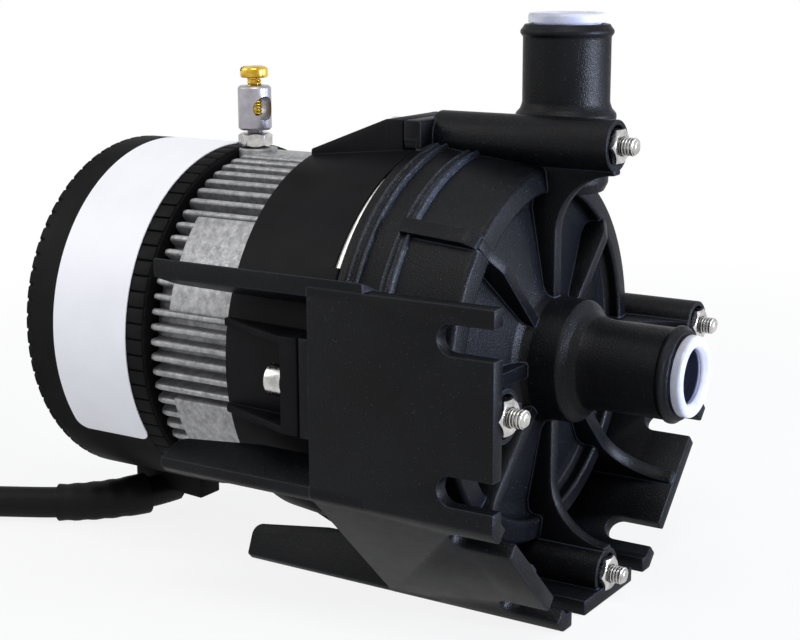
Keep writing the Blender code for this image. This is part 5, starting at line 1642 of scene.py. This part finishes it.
@dataclass
class CasingFasteners:
    """Socket-head bolts with threaded ends in front of their hexagon nuts."""

    cutter: ThreadCutter
    radius: float = 2.0
    proud: float = 3.4
    head_front: float = 52.3
    head_length: float = 4.5
    head_radius: float = 3.5
    socket: float = 1.7
    socket_depth: float = 2.2
    thread_rear: float = 4.6
    thread_length: float = 7.0
    thread_root: float = 0.32

    def bolt(self, x: float, height: float) -> bpy.types.Object:
        """One bolt.

        Args:
            x: Sideways place of its axis.
            height: Height of its axis.

        Returns:
            The bolt.
        """
        core = self.radius - self.thread_root
        rear = self.head_front + self.head_length
        outline = [(0, -self.proud), (core - 0.5, -self.proud), (core, -self.proud + 0.5),
                   (core, self.thread_rear), (self.radius, self.thread_rear),
                   (self.radius, self.head_front),
                   (self.head_radius, self.head_front), (self.head_radius, rear - 0.4),
                   (self.head_radius - 0.4, rear), (self.socket, rear),
                   (self.socket, rear - self.socket_depth), (0, rear - self.socket_depth)]
        shank = turned("shank", outline, axial_frame(x, height), 32, 0.15)
        frame = axial_frame(x, height) @ along_axis(0.45 - self.proud)
        thread = self.cutter.wind(self.radius, THREAD_PITCH, self.thread_length, frame,
                                  made(BRIGHT_STEEL))
        return together("bolt", [shank, thread])

    def build(self) -> None:
        """Make the bolts and nuts."""
        for corner in Corner:
            x, height = polar(BOLT_CIRCLE, corner.value)
            name = corner.name.lower()
            bolt = self.bolt(x, height)
            bolt.name = f"bolt_{name}"
            dressed(bolt, BRIGHT_STEEL, Body.PUMP, "bright_steel", f"casing_bolt_{name}")
            nut = hexagon_nut(f"nut_{name}", self.radius + 0.05,
                              axial_frame(x, height) @ along_axis(NUT_THICK / 2))
            dressed(nut, BRIGHT_STEEL, Body.PUMP, "bright_steel", f"casing_nut_{name}")


def hexagon_nut(name: str, hole: float, frame: Matrix) -> bpy.types.Object:
    """Hexagon nut about local Z, with its corners turned down at both faces.

    Args:
        name: Name of the object.
        hole: Radius of the hole.
        frame: Placement of its middle.

    Returns:
        The nut.
    """
    half = NUT_FLATS / 2
    reach = half / math.cos(math.radians(30))
    hexagon = plate(name, [polar(reach, 60 * i) for i in range(6)], NUT_THICK,
                    Matrix.Identity(4), 0.0)
    top = NUT_THICK / 2
    lens = [(hole, -top), (half - 0.15, -top), (reach, -top + 0.55), (reach, top - 0.55),
            (half - 0.15, top), (hole, top)]
    body = turned("nut_turning", lens, Matrix.Identity(4), 48, 0.02)
    nut = carved(hexagon, [body], "INTERSECT")
    nut.data.transform(frame)
    return nut


@dataclass
class MotorHousing:
    """Die-cast housing with its flange, fins, smooth pads and lug boss."""

    rings: NodeTree
    front: float = HOUSING_FRONT
    flange: float = 43.4
    flange_rear: float = 48.3
    bore: float = 33.5
    root: float = 36.8
    tip: float = 40.5
    rear: float = 96.6
    spigot: float = 35.8
    spigot_rear: float = 100.0
    fin_count: int = 72
    fin_first: float = 2.0
    fin_root_width: float = 2.0
    fin_tip_width: float = 1.4
    pad_rise: float = 0.1
    crescent_radius: float = 45.35
    crescent_steps: int = 32
    crescent_thick: float = 1.2
    pads: tuple[tuple[float, float, float], ...] = (
        (134.5, 167.0, 90.5), (196.0, 216.0, 90.5), (13.0, 45.5, 90.5), (324.0, 344.0, 90.5),
        (80.0, 97.0, 96.2))
    boss_radius: float = 4.6

    def core(self) -> bpy.types.Object:
        """Turned body under the fins.

        Returns:
            The core.
        """
        outline = [(self.bore, self.front), (self.flange, self.front),
                   (self.flange, self.flange_rear), (self.root + 0.15, self.flange_rear + 0.1),
                   (self.root, self.rear - 1.0), (self.root - 0.8, self.rear - 0.3),
                   (self.spigot, self.rear - 0.3), (self.spigot, self.spigot_rear),
                   (self.bore, self.spigot_rear)]
        return turned("core", outline, axial_frame(), cut=0.3)

    def fin(self) -> bpy.types.Object:
        """One fin at angle 0 about local Z, with its rear end and crest rounded.

        Returns:
            The fin, in the housing's turned frame.
        """
        low = self.root - 0.6
        stations = [self.flange_rear - 0.3, self.rear - 2.2, self.rear - 0.9, self.rear - 0.25,
                    self.rear]
        crests = [self.tip, self.tip, self.tip - 0.35, self.tip - 1.1, self.tip - 2.2]
        narrow = [1.0, 1.0, 0.92, 0.75, 0.45]
        rows = []
        for station, crest, share in zip(stations, crests, narrow):
            base = self.fin_root_width / 2 * (0.4 + 0.6 * share)
            top = self.fin_tip_width / 2 * share
            section = [(low, -base), (crest - 0.45, -top), (crest - 0.1, -top * 0.6),
                       (crest, 0), (crest - 0.1, top * 0.6), (crest - 0.45, top), (low, base)]
            rows.append([Vector((radius, side, station)) * MM for radius, side in section])
        return lofted("fin", rows)

    def pad(self, start: float, end: float, rear: float) -> bpy.types.Object:
        """Smooth pad over a range of angles.

        Args:
            start: First angle.
            end: Last angle.
            rear: Station of its rear end.

        Returns:
            The pad.
        """
        steps = max(6, round(end - start))
        outline = sector(self.tip + self.pad_rise, self.root - 0.8, start, end, steps)
        middle = (self.flange_rear + rear) / 2
        return plate("pad", outline, rear - self.flange_rear + 0.4, section_frame(middle), 0.5)

    def crescent(self) -> None:
        """Machined edge of the flange that shows in the clamp ring's gap."""
        outline = sector(self.crescent_radius, self.flange - 0.5, GAP_START, GAP_END,
                         self.crescent_steps)
        strip = plate("flange_edge", outline, self.crescent_thick,
                      section_frame(self.front + 0.75), 0.1)
        dressed(strip, MACHINED_EDGE, Body.PUMP, "cast_aluminium")

    def build(self) -> None:
        """Make the housing as one piece."""
        fins = ringed(self.rings, "fins", self.fin(), self.fin_count,
                      made(CAST_ALUMINIUM), self.fin_first)
        solids = [self.core(), fins] + [self.pad(*pad) for pad in self.pads]
        boss = [(0, self.root - 0.5), (self.boss_radius, self.root - 0.5),
                (self.boss_radius, LUG_SEAT), (0, LUG_SEAT)]
        solids.append(turned("lug_boss", boss, upright_frame(LUG_X, LUG_STATION - 0.8), 40,
                             0.4))
        housing = together("housing_casting", solids)
        self.crescent()
        dressed(housing, CAST_ALUMINIUM, Body.PUMP, "cast_aluminium", "motor_housing")


@dataclass
class RearCap:
    """Black cap with a toothed front band, a scalloped rear edge and a blank white plate."""

    rings: NodeTree
    radius: float = 41.8
    band: float = 41.1
    band_rear: float = 101.6
    front: float = 96.9
    rear: float = 133.0
    corner: float = 1.0
    wall: float = 2.6
    dish: float = 33.0
    dish_depth: float = 0.8
    spigot: float = 36.1
    spigot_length: float = 3.7
    teeth: int = 72
    tooth_width: float = 3.36
    tooth_depth: float = 2.6
    tooth_edge: float = 0.42
    notch_width: float = 0.7
    notch_depth: float = 0.9
    notch_length: float = 2.8
    plate_front: float = 101.8
    plate_length: float = 22.0
    plate_start: float = 86.0
    plate_end: float = 215.0
    plate_radius: float = 41.9
    plate_corner: float = 3.0
    plate_sunk: float = 0.3
    plate_columns: int = 96

    def shell(self) -> bpy.types.Object:
        """Turned shell of the cap.

        Returns:
            The shell.
        """
        side = self.radius
        outline = [(self.spigot, self.front), (self.band, self.front),
                   (self.band, self.band_rear), (side, self.band_rear + 0.2),
                   (side, self.rear - self.corner - 2.0)]
        outline += arc((side - self.corner, self.rear - self.corner), self.corner, 0, 90, 8)
        outline += [(self.dish + 1.0, self.rear), (self.dish, self.rear - self.dish_depth),
                    (0.0, self.rear - self.dish_depth)]
        inner = self.rear - self.wall
        outline += [(0.0, inner), (side - self.wall, inner),
                    (side - self.wall, self.front + self.spigot_length),
                    (self.spigot, self.front + self.spigot_length)]
        start = outline.index((0.0, self.rear - self.dish_depth))
        opened = outline[start + 1:] + outline[:start + 1]
        return turned("cap_shell", opened, axial_frame(), cut=0.3)

    def tooth(self) -> bpy.types.Object:
        """One tooth of the front band at angle 0 about local Z.

        Returns:
            The tooth, in the cap's turned frame.
        """
        top = self.radius - 0.1
        low = Vector((top - self.tooth_depth, -self.tooth_width / 2, self.front + 0.2)) * MM
        high = Vector((top, self.tooth_width / 2, self.band_rear + 0.3)) * MM
        return edged_box("tooth", low, high, self.tooth_edge)

    def notch(self) -> bpy.types.Object:
        """Cutter of one shallow scallop in the rear edge, at angle 0 about local Z.

        Returns:
            The cutter, in the cap's turned frame.
        """
        rows = []
        for share, deep in ((0, -0.3), (0.5, 0.6), (1.4, 1.5)):
            station = self.rear - self.notch_length * (1 - share)
            floor = self.radius - self.notch_depth * deep
            crest = self.radius + 2.0
            section = ((floor, -0.3), (floor, 0.3), (crest, 3.0), (crest, -3.0))
            rows.append([Vector((radius, side * self.notch_width, station)) * MM
                         for radius, side in section])
        return lofted("notch", rows)

    def rating_plate(self) -> bpy.types.Object:
        """Blank plate wrapped around the cap, with rounded corners.

        Returns:
            The plate.
        """
        arc_length = math.radians(self.plate_end - self.plate_start) * self.plate_radius
        under = self.plate_radius - self.plate_sunk
        rows = []
        for i in range(self.plate_columns + 1):
            share = (1 - math.cos(math.pi * i / self.plate_columns)) / 2
            angle = self.plate_start + (self.plate_end - self.plate_start) * share
            edge = min(share, 1 - share) * arc_length
            inset = 0.0
            if edge < self.plate_corner:
                inset = self.plate_corner - math.sqrt(
                    max(0.0, self.plate_corner ** 2 - (self.plate_corner - edge) ** 2))
            front = self.plate_front + inset
            rear = self.plate_front + self.plate_length - inset
            rows.append(around(((under, front), (self.plate_radius, front),
                                (self.plate_radius, rear), (under, rear)), angle))
        return lofted("blank_plate", rows)

    def build(self) -> None:
        """Make the cap and its plate."""
        black = made(CAP_PLASTIC)
        teeth = ringed(self.rings, "teeth", self.tooth(), self.teeth, black)
        notches = ringed(self.rings, "notches", self.notch(), self.teeth, black)
        cap = together("cap_moulding", [carved(self.shell(), [notches]), teeth])
        dressed(cap, CAP_PLASTIC, Body.PUMP, "cap_black", "rear_cap")
        dressed(self.rating_plate(), LABEL_FILM, Body.PUMP, "plate_white",
                "rating_plate")


@dataclass
class BondingLug:
    """Bonding lug with its lock nut, cross hole and brass clamping screw."""

    cutter: ThreadCutter
    gap: float = 0.3
    neck: float = 0.7
    stud: float = 1.9
    stud_depth: float = 3.6
    stud_pitch: float = 0.5
    thread_root: float = 0.3
    radius: float = 3.95
    height: float = 10.4
    hole: float = 2.8
    hole_turn: float = 13.5
    screw: float = 1.75
    proud: float = 1.9
    head: float = 3.3
    head_thick: float = 2.6
    slot_width: float = 0.9
    slot_depth: float = 1.1
    slot_turn: float = 35.0
    nut_turn: float = 8.0
    tip_drop: float = 7.1

    def low(self) -> float:
        """Height of the underside of the lug's body above the pump axis."""
        return LUG_SEAT + self.gap + NUT_THICK + self.neck

    def body(self) -> bpy.types.Object:
        """Lug body with its stud and cross hole.

        Returns:
            The body.
        """
        low = self.low()
        top = low + self.height
        core = self.stud - self.thread_root
        outline = [(0, LUG_SEAT - self.stud_depth), (core, LUG_SEAT - self.stud_depth),
                   (core, low), (self.radius - 0.5, low), (self.radius, low + 0.5),
                   (self.radius, top - 0.5), (self.radius - 0.5, top), (self.screw + 0.1, top),
                   (self.screw + 0.1, low + self.height / 2), (0, low + self.height / 2)]
        body = turned("lug", outline, upright_frame(LUG_X, LUG_STATION), 56, 0.12)
        middle = low + self.height / 2
        lay = turned_by(-self.hole_turn) @ turned_by(90, "X")
        past = 9.0
        hole = turned("hole", [(0, -past), (self.hole, -past), (self.hole, past), (0, past)],
                      upright_frame(LUG_X, LUG_STATION, middle) @ lay, 40, 0.0)
        body = carved(body, [hole])
        neck = upright_frame(LUG_X, LUG_STATION, LUG_SEAT + NUT_THICK - 0.2)
        thread = self.cutter.wind(self.stud, self.stud_pitch, self.neck + 0.4, neck,
                                  made(SATIN_NICKEL))
        return together("lug_body", [body, thread])

    def screw_solid(self) -> bpy.types.Object:
        """Brass screw with a slotted head.

        Returns:
            The screw.
        """
        top = self.low() + self.height
        head = top + self.proud
        tip = top - self.tip_drop
        core = self.screw - self.thread_root
        crest = head + self.head_thick
        outline = [(0, tip), (core - 0.4, tip), (core, tip + 0.4), (core, head),
                   (self.head - 0.25, head), (self.head, head + 0.25),
                   (self.head, crest - 0.7), (self.head - 0.25, crest - 0.3),
                   (self.head - 0.9, crest), (0, crest)]
        screw = turned("screw", outline, upright_frame(LUG_X, LUG_STATION), 48, 0.12)
        half = self.slot_width / 2
        slot = edged_box("slot", place(LUG_X - 5, LUG_STATION - half, crest - self.slot_depth),
                         place(LUG_X + 5, LUG_STATION + half, crest + 3), 0.02)
        centre = upright_frame(LUG_X, LUG_STATION)
        slot.data.transform(centre @ turned_by(-self.slot_turn) @ centre.inverted())
        screw = carved(screw, [slot])
        thread = self.cutter.wind(self.screw, THREAD_PITCH, head - tip - 0.6,
                                  upright_frame(LUG_X, LUG_STATION, tip + 0.4), made(GOLD_BRASS))
        return together("lug_screw_turning", [screw, thread])

    def build(self) -> None:
        """Make the lug's three pieces."""
        middle = LUG_SEAT + self.gap + NUT_THICK / 2
        nut = hexagon_nut("lug_lock_nut", self.stud,
                          upright_frame(LUG_X, LUG_STATION, middle) @ turned_by(self.nut_turn))
        dressed(nut, BRIGHT_STEEL, Body.PUMP, "bright_steel", "bonding_lug_nut")
        dressed(self.body(), SATIN_NICKEL, Body.PUMP, "lug_metal", "bonding_lug_body")
        dressed(self.screw_solid(), GOLD_BRASS, Body.LUG_SCREW, "brass",
                "bonding_lug_screw")


@dataclass
class TransitPlugs:
    """Soft hollow plugs in the two ports."""

    bore: float = 7.5
    wall: float = 1.7
    depth: float = 8.0
    flange: float = 8.7
    flange_thick: float = 2.2
    gap: float = 0.3

    def outline(self, rim: float) -> list[Point]:
        """Outline of a plug for a port whose mouth is at this depth.

        Args:
            rim: Place of the port's mouth.

        Returns:
            (radius, depth) points.
        """
        lip = rim - self.flange_thick - self.gap
        inner = self.bore - self.wall
        floor = rim + self.depth - self.wall
        return [(0, floor), (inner - 1.0, floor), (inner, floor - 1.0), (inner, lip + 0.9),
                (inner + 0.8, lip), (self.flange - 0.5, lip), (self.flange, lip + 0.5),
                (self.flange, rim - self.gap), (self.bore, rim - self.gap),
                (self.bore, rim + 2.0), (self.bore - 0.25, rim + 2.3), (self.bore, rim + 2.6),
                (self.bore, rim + self.depth - 0.8), (self.bore - 0.8, rim + self.depth),
                (0, rim + self.depth)]

    def build(self) -> None:
        """Make both plugs."""
        inlet = turned("inlet_cap", self.outline(INLET_FRONT), axial_frame(), 96, 0.35)
        mouth = place(0, INLET_FRONT, 0).y
        self.dress(inlet, Body.INLET_PLUG, "inlet_plug",
                   [face.center.y > mouth for face in inlet.data.polygons])
        points = [(radius, -depth) for radius, depth in self.outline(-OUTLET_TOP)]
        outlet = turned("outlet_cap", points, upright_frame(OUTLET_X, OUTLET_STATION), 96, 0.35)
        mouth = place(0, 0, OUTLET_TOP).z
        self.dress(outlet, Body.OUTLET_PLUG, "outlet_plug",
                   [face.center.z < mouth for face in outlet.data.polygons])

    def dress(self, plug: bpy.types.Object, body: Body, node: str,
              inside: Sequence[bool]) -> None:
        """Give a plug its milky look, and its cup inside the port a clearer, darker one with
        painted shade.

        Args:
            plug: The plug.
            body: Body that it rides on.
            node: Node that it replaces.
            inside: For each face, whether it lies inside the port.
        """
        dressed(plug, MILKY_PLASTIC, body, "plug_white", node)
        # Faces inside the port get the darker clear copy: painted shade.
        plug.data.materials.append(made(SHADED_CLEAR_CUP))
        for face, chosen in zip(plug.data.polygons, inside):
            face.material_index = int(chosen)


@dataclass
class MainsLead:
    """Mains lead with its clamp block, boot, coil and plug."""

    nodes: dict[str, bpy.types.Object]
    diameter: float = 7.8
    route: tuple[tuple[float, float, float], ...] = (
        (-2.0, 122.8, -47.6), (-8.2, 124.2, -47.62), (-15.7, 128.3, -47.9),
        (-21.9, 134.6, -48.3), (-26.6, 143.0, -48.8), (-35.2, 159.4, -49.0),
        (-43.1, 168.5, -49.0), (-56.2, 183.6, -49.0), (-62.9, 193.0, -48.8),
        (-67.3, 202.5, -48.4), (-70.0, 212.6, -48.0))
    coil_x: float = -27.0
    coil_station: float = 250.0
    coil_radius: float = 40.0
    coil_low: float = -51.2
    leave: float = 27.0
    tail_bend: float = 32.0
    tail_straight: float = 3.0
    turned: int = 1080
    turn_step: int = 10
    steps_in: Point = (303, 352)
    steps_out: Point = (930, 985)
    steps_up: Point = (622, 678)
    climb_turn: float = 1040.0
    climb_length: float = 60.0
    plug_drop: float = 25.3
    boot_first: int = 9
    boot_length: int = 22
    boot_radii: Point = (5.2, 4.7)
    boot_ribs: int = 5
    boot_sides: int = 32
    clamp_plan: tuple[Point, ...] = ((-8.3, 109.0), (-0.8, 109.0), (-0.8, 131.8),
                                     (-6.5, 131.8), (-6.8, 123.0))
    clamp_heights: Point = (-47.0, -40.6)
    plug_boot: float = 22.0
    plug_body: tuple[float, float, float] = (30.0, 25.0, 20.0)
    points: list[Vector] = field(default_factory=list)

    def lead(self) -> list[Vector]:
        """Route of the lead from the clamp block to the coil.

        Returns:
            Its points.
        """
        arrive = self.coil_x - self.coil_radius - self.diameter / 2
        end = (arrive, self.coil_station - self.leave, -47.8)
        return [place(*point) for point in (*self.route, end)]

    def turns(self) -> list[Vector]:
        """Turns of the coil in two layers, wound clockwise as seen from above.

        Returns:
            Points from the coil's left side to its far side.
        """
        outer = self.coil_radius + self.diameter / 2
        inner = self.coil_radius - self.diameter / 2
        low = self.coil_low + self.diameter / 2
        high = low + self.diameter
        points = []
        for turn in range(0, self.turned, self.turn_step):
            radius = outer - (outer - inner) * eased(turn, *self.steps_in)
            radius += (outer - inner) * eased(turn, *self.steps_out)
            level = low + (high - low) * eased(turn, *self.steps_up)
            level += self.climb(math.radians(turn - self.climb_turn) * outer)
            x, along = polar(radius, 180 - turn)
            points.append(place(self.coil_x + x, self.coil_station + along, level))
        return points

    def climb(self, along: float) -> float:
        """Height gained this far past the start of the climb onto the coil."""
        top = -self.plug_drop - self.coil_low - self.diameter * 1.5
        return top * eased(along, 0, self.climb_length)

    def tail_points(self) -> list[Vector]:
        """Route from the coil's left side round to the plug that lies on the coil.

        Returns:
            Its points.
        """
        outer = self.coil_radius + self.diameter / 2
        level = self.coil_low + self.diameter * 1.5
        first = math.radians(self.turned - self.climb_turn) * outer
        straight = self.coil_radius - self.tail_bend
        points = []
        for along in (0.0, straight / 2):
            points.append(place(self.coil_x - outer, self.coil_station + along,
                                level + self.climb(first + along)))
        for step in range(13):
            turn = math.radians(7.5 * step)
            x = self.coil_x - outer + self.tail_bend * (1 - math.cos(turn))
            station = self.coil_station + straight + self.tail_bend * math.sin(turn)
            along = first + straight + self.tail_bend * turn
            points.append(place(x, station, level + self.climb(along)))
        points.append(points[-1] + Vector((self.tail_straight, 0, 0)) * MM)
        return points

    def flexible(self) -> bpy.types.Object:
        """The whole lead as one curve.

        Returns:
            The curve object.
        """
        points = smooth_path(self.lead() + self.turns() + self.tail_points(), 3.0)
        curve = bpy.data.curves.new("mains_lead", "CURVE")
        curve.dimensions = "3D"
        curve.bevel_depth = self.diameter / 2 * MM
        curve.bevel_resolution = 5
        curve.use_fill_caps = True
        spline = curve.splines.new("POLY")
        spline.points.add(len(points) - 1)
        for node, point in zip(spline.points, points):
            node.co = (*point, 1)
        spline.use_smooth = True
        lead = bpy.data.objects.new("mains_lead", curve)
        bpy.context.scene.collection.objects.link(lead)
        self.points = points
        return dressed(lead, CORD_JACKET, Body.PUMP, "cord_black", "power_cord", "cord_coil",
                       "cord_tail")

    def boot(self) -> bpy.types.Object:
        """Tapered and ribbed strain relief around the start of the lead.

        Returns:
            The boot.
        """
        path = smooth_path(self.lead(), 1.0)
        rows = []
        for i in range(self.boot_length + 1):
            at = self.boot_first + i
            along = (path[at + 1] - path[at - 1]).normalized()
            side = along.cross(Vector((0, 0, 1))).normalized()
            up = side.cross(along)
            share = i / self.boot_length
            radius = self.boot_radii[0] + (self.boot_radii[1] - self.boot_radii[0]) * share
            rib = math.cos(math.tau * self.boot_ribs * share)
            radius -= 0.1 * (1 - rib) * (0.2 < share < 0.97)
            rows.append([path[at] + (side * c + up * s) * MM for c, s in
                         (polar(radius, 360 * k / self.boot_sides)
                          for k in range(self.boot_sides))])
        boot = lofted("lead_boot", rows)
        return dressed(boot, CORD_JACKET, Body.PUMP, "cord_black", "cord_boot")

    def clamp(self) -> bpy.types.Object:
        """Clamp block under the cap.

        Returns:
            The block.
        """
        low, top = self.clamp_heights
        frame = upright_frame(0, 0, (low + top) / 2)
        body = plate("lead_clamp", self.clamp_plan, top - low, frame, 0.4)
        return dressed(body, CAP_PLASTIC, Body.PUMP, "cap_black", "cord_clamp_block")

    def plug(self) -> bpy.types.Object:
        """Moulded plug with a ribbed boot and grip grooves.

        Returns:
            The plug.
        """
        start = self.coil_x - self.coil_radius - self.diameter / 2 + self.tail_bend
        start += self.tail_straight + 0.3
        station = self.coil_station + self.coil_radius
        radius = self.diameter / 2
        outline = [(0.0, 0.0), (radius + 1.2, 0.0)]
        for i in range(4):
            at = 2.5 + 3.6 * i
            grow = radius + 1.2 + 1.5 * at / 17
            outline += [(grow, at), (grow - 0.8, at + 0.5), (grow - 0.8, at + 1.5),
                        (grow + 0.2, at + 2.0)]
        outline += [(6.5, 17.0), (6.5, self.plug_boot), (0.0, self.plug_boot)]
        frame = upright_frame(start, station, -self.plug_drop) @ turned_by(90, "Y")
        solids = [turned("plug_boot", outline, frame, 48, 0.25)]
        length, width, thick = self.plug_body
        first = start + self.plug_boot - 2.0
        low = place(first, station - width / 2, -self.plug_drop - thick / 2)
        high = place(first + length, station + width / 2, -self.plug_drop + thick / 2)
        solids.append(edged_box("plug_body", low, high, 3.0))
        plug = together("plug_moulding", solids)
        return dressed(plug, CORD_JACKET, Body.PUMP, "cord_black", "cord_plug")

    def build(self) -> None:
        lead = self.flexible()
        boot = self.boot()
        self.clamp()
        plug = self.plug()


def eased(value: float, start: float, end: float) -> float:
    """Share from 0 to 1 that starts and ends softly between two values.

    Args:
        value: Value to place.
        start: Value at which the share is 0.
        end: Value at which it is 1.

    Returns:
        The share.
    """
    t = min(1.0, max(0.0, (value - start) / (end - start)))
    return t * t * (3 - 2 * t)


def smooth_path(points: Sequence[Vector], spacing: float) -> list[Vector]:
    """Evenly spaced points along a smooth curve through given points.

    Args:
        points: Points that the curve passes.
        spacing: Distance between the results in millimetres.

    Returns:
        The spaced points, with both ends kept.
    """
    ends = [2 * points[0] - points[1], *points, 2 * points[-1] - points[-2]]
    dense = []
    for a, b, c, d in zip(ends, ends[1:], ends[2:], ends[3:]):
        for i in range(24):
            t = i / 24
            dense.append(0.5 * (2 * b + (c - a) * t + (2 * a - 5 * b + 4 * c - d) * t ** 2
                                + (3 * b - a - 3 * c + d) * t ** 3))
    dense.append(points[-1].copy())
    lengths = [0.0]
    for a, b in zip(dense, dense[1:]):
        lengths.append(lengths[-1] + (b - a).length)
    count = max(2, round(lengths[-1] / (spacing * MM)))
    result = []
    index = 0
    for i in range(count + 1):
        target = lengths[-1] * i / count
        while index < len(lengths) - 2 and lengths[index + 1] < target:
            index += 1
        span = max(1e-12, lengths[index + 1] - lengths[index])
        share = min(1.0, max(0.0, (target - lengths[index]) / span))
        result.append(dense[index].lerp(dense[index + 1], share))
    return result


def dress_kept_solids(nodes: dict[str, bpy.types.Object]) -> None:
    """Give the nodes that keep their own solids their materials.

    Args:
        nodes: Nodes of the loaded model.
    """
    for name, node in nodes.items():
        if node.hide_render:
            continue
        finish = KEPT_SOLIDS[name]
        node.data.materials.clear()
        node.data.materials.append(made(finish))
        log.info("%s keeps its solid with %s", name, finish.name)


@dataclass
class Lamp:
    """Soft square lamp."""

    name: str
    where: tuple[float, float, float]
    size: float
    watts: float
    tint: str = "#ffffff"

    def build(self, target: Vector) -> None:
        """Set the lamp up.

        Args:
            target: Point that it faces.
        """
        data = bpy.data.lights.new(self.name, "AREA")
        data.shape = "SQUARE"
        data.size = self.size
        data.energy = self.watts
        data.color = colour(self.tint)[:3]
        lamp = bpy.data.objects.new(self.name, data)
        lamp.location = self.where
        lamp.rotation_mode = "QUATERNION"
        lamp.rotation_quaternion = (target - Vector(self.where)).to_track_quat("-Z", "Y")
        bpy.context.scene.collection.objects.link(lamp)


@dataclass
class Studio:
    """Pale floor, plain soft light and the photograph's camera."""

    camera_place: tuple[float, float, float] = (-0.311675, -0.165528, 0.139322)
    yaw: float = 57.50
    pitch: float = 12.61
    roll: float = -0.185
    focal_px: float = 1640.22
    image_width: float = 800.0
    sensor: float = 36.0
    floor_size: float = 6.0
    shadow_reach: float = 0.2
    white_from: float = 0.42
    sky: float = 0.45
    floor_glow: float = 0.86
    floor_drop: float = 0.0002
    target: tuple[float, float, float] = (0, 0.03, 0.06)
    lamps: tuple[Lamp, ...] = (
        Lamp("key", (-0.3, -0.15, 0.85), 0.4, 3.2),
        Lamp("front", (0.17, -0.88, 0.14), 0.2, 17.0, "#d8e4ff"),
        Lamp("low", (0.52, -0.66, 0.2), 0.34, 2.0, "#d4e0ff"),
        Lamp("back", (-0.45, 0.7, 0.55), 0.5, 2.0))

    def camera(self) -> None:
        """Set up the camera at the photograph's viewpoint."""
        yaw = math.radians(self.yaw)
        pitch = math.radians(self.pitch)
        roll = math.radians(self.roll)
        ahead = Vector((math.sin(yaw) * math.cos(pitch), math.cos(yaw) * math.cos(pitch),
                        -math.sin(pitch)))
        right = Vector((math.cos(yaw), -math.sin(yaw), 0))
        up = right.cross(ahead)
        right_rolled = math.cos(roll) * right + math.sin(roll) * up
        up_rolled = -math.sin(roll) * right + math.cos(roll) * up
        turn = Matrix((right_rolled, up_rolled, -ahead)).transposed().to_4x4()
        data = bpy.data.cameras.new("photo_camera")
        data.sensor_width = self.sensor
        data.lens = self.sensor * self.focal_px / self.image_width
        data.clip_start = 0.01
        data.clip_end = 50
        camera = bpy.data.objects.new("photo_camera", data)
        camera.matrix_world = Matrix.Translation(self.camera_place) @ turn
        bpy.context.scene.collection.objects.link(camera)
        bpy.context.scene.camera = camera

    def seen(self, tree: bpy.types.NodeTree) -> bpy.types.NodeSocket:
        """Share of rays that show the white backdrop.

        Args:
            tree: Tree that takes the nodes.

        Returns:
            The share socket.
        """
        path = add_node(tree, "ShaderNodeLightPath")
        straight = add_node(tree, "ShaderNodeMath", {
            0: path.outputs["Is Camera Ray"], 1: path.outputs["Is Transmission Ray"]},
            operation="MAXIMUM")
        every = add_node(tree, "ShaderNodeMath", {
            0: straight.outputs[0], 1: path.outputs["Is Glossy Ray"]}, operation="MAXIMUM")
        return every.outputs[0]

    def floor(self) -> None:
        """White floor that keeps a soft shadow."""
        material, tree = fresh_material("studio_floor")
        paint = add_node(tree, "ShaderNodeBsdfDiffuse", {"Color": colour("#dadada")})
        glow = add_node(tree, "ShaderNodeEmission", {"Color": (1, 1, 1, 1), "Strength": 1.0})
        where = add_node(tree, "ShaderNodeTexCoord")
        away = add_node(tree, "ShaderNodeVectorMath", {0: where.outputs["Object"]},
                        operation="LENGTH")
        glowing = spread(tree, away.outputs["Value"], self.shadow_reach, self.white_from,
                         self.floor_glow, 1.0)
        share = add_node(tree, "ShaderNodeMath", {0: self.seen(tree), 1: glowing},
                         operation="MULTIPLY")
        mixed = add_node(tree, "ShaderNodeMixShader", {
            "Fac": share.outputs[0], 1: paint.outputs[0], 2: glow.outputs[0]})
        add_node(tree, "ShaderNodeOutputMaterial", {"Surface": mixed.outputs[0]})
        shape = bmesh.new()
        bmesh.ops.create_grid(shape, x_segments=2, y_segments=2, size=self.floor_size / 2)
        floor = mesh_object("studio_floor", shape, Matrix.Translation((0, 0, -self.floor_drop)))
        floor.data.materials.append(material)

    def world(self) -> None:
        """White surroundings, plain for the camera and softer for the light."""
        world = bpy.data.worlds.new("studio")
        world.use_nodes = True
        tree = world.node_tree
        tree.nodes.clear()
        soft = add_node(tree, "ShaderNodeBackground", {
            "Color": (0.95, 0.97, 1.0, 1), "Strength": self.sky})
        white = add_node(tree, "ShaderNodeBackground", {"Color": (1, 1, 1, 1), "Strength": 1.0})
        mixed = add_node(tree, "ShaderNodeMixShader", {
            "Fac": self.seen(tree), 1: soft.outputs[0], 2: white.outputs[0]})
        add_node(tree, "ShaderNodeOutputWorld", {"Surface": mixed.outputs[0]})
        bpy.context.scene.world = world

    def build(self) -> None:
        """Make the whole studio."""
        self.world()
        self.floor()
        for lamp in self.lamps:
            lamp.build(Vector(self.target))
        bpy.context.scene.view_settings.view_transform = "Standard"


def main() -> None:
    """Build the looks of the whole pump."""
    logging.basicConfig(level=logging.INFO, format="%(name)s: %(message)s")
    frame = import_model()
    nodes = frame["nodes"]
    studio = Studio()
    studio.camera()
    MainsLead(nodes).build()
    studio.build()
    rings = ring_tree()
    cutter = ThreadCutter()
    PumpCasing().build()
    ClampRing().build()
    CasingFasteners(cutter).build()
    MotorHousing(rings).build()
    RearCap(rings).build()
    BondingLug(cutter).build()
    TransitPlugs().build()
    dress_kept_solids(nodes)


if __name__ == "__main__":
    main()
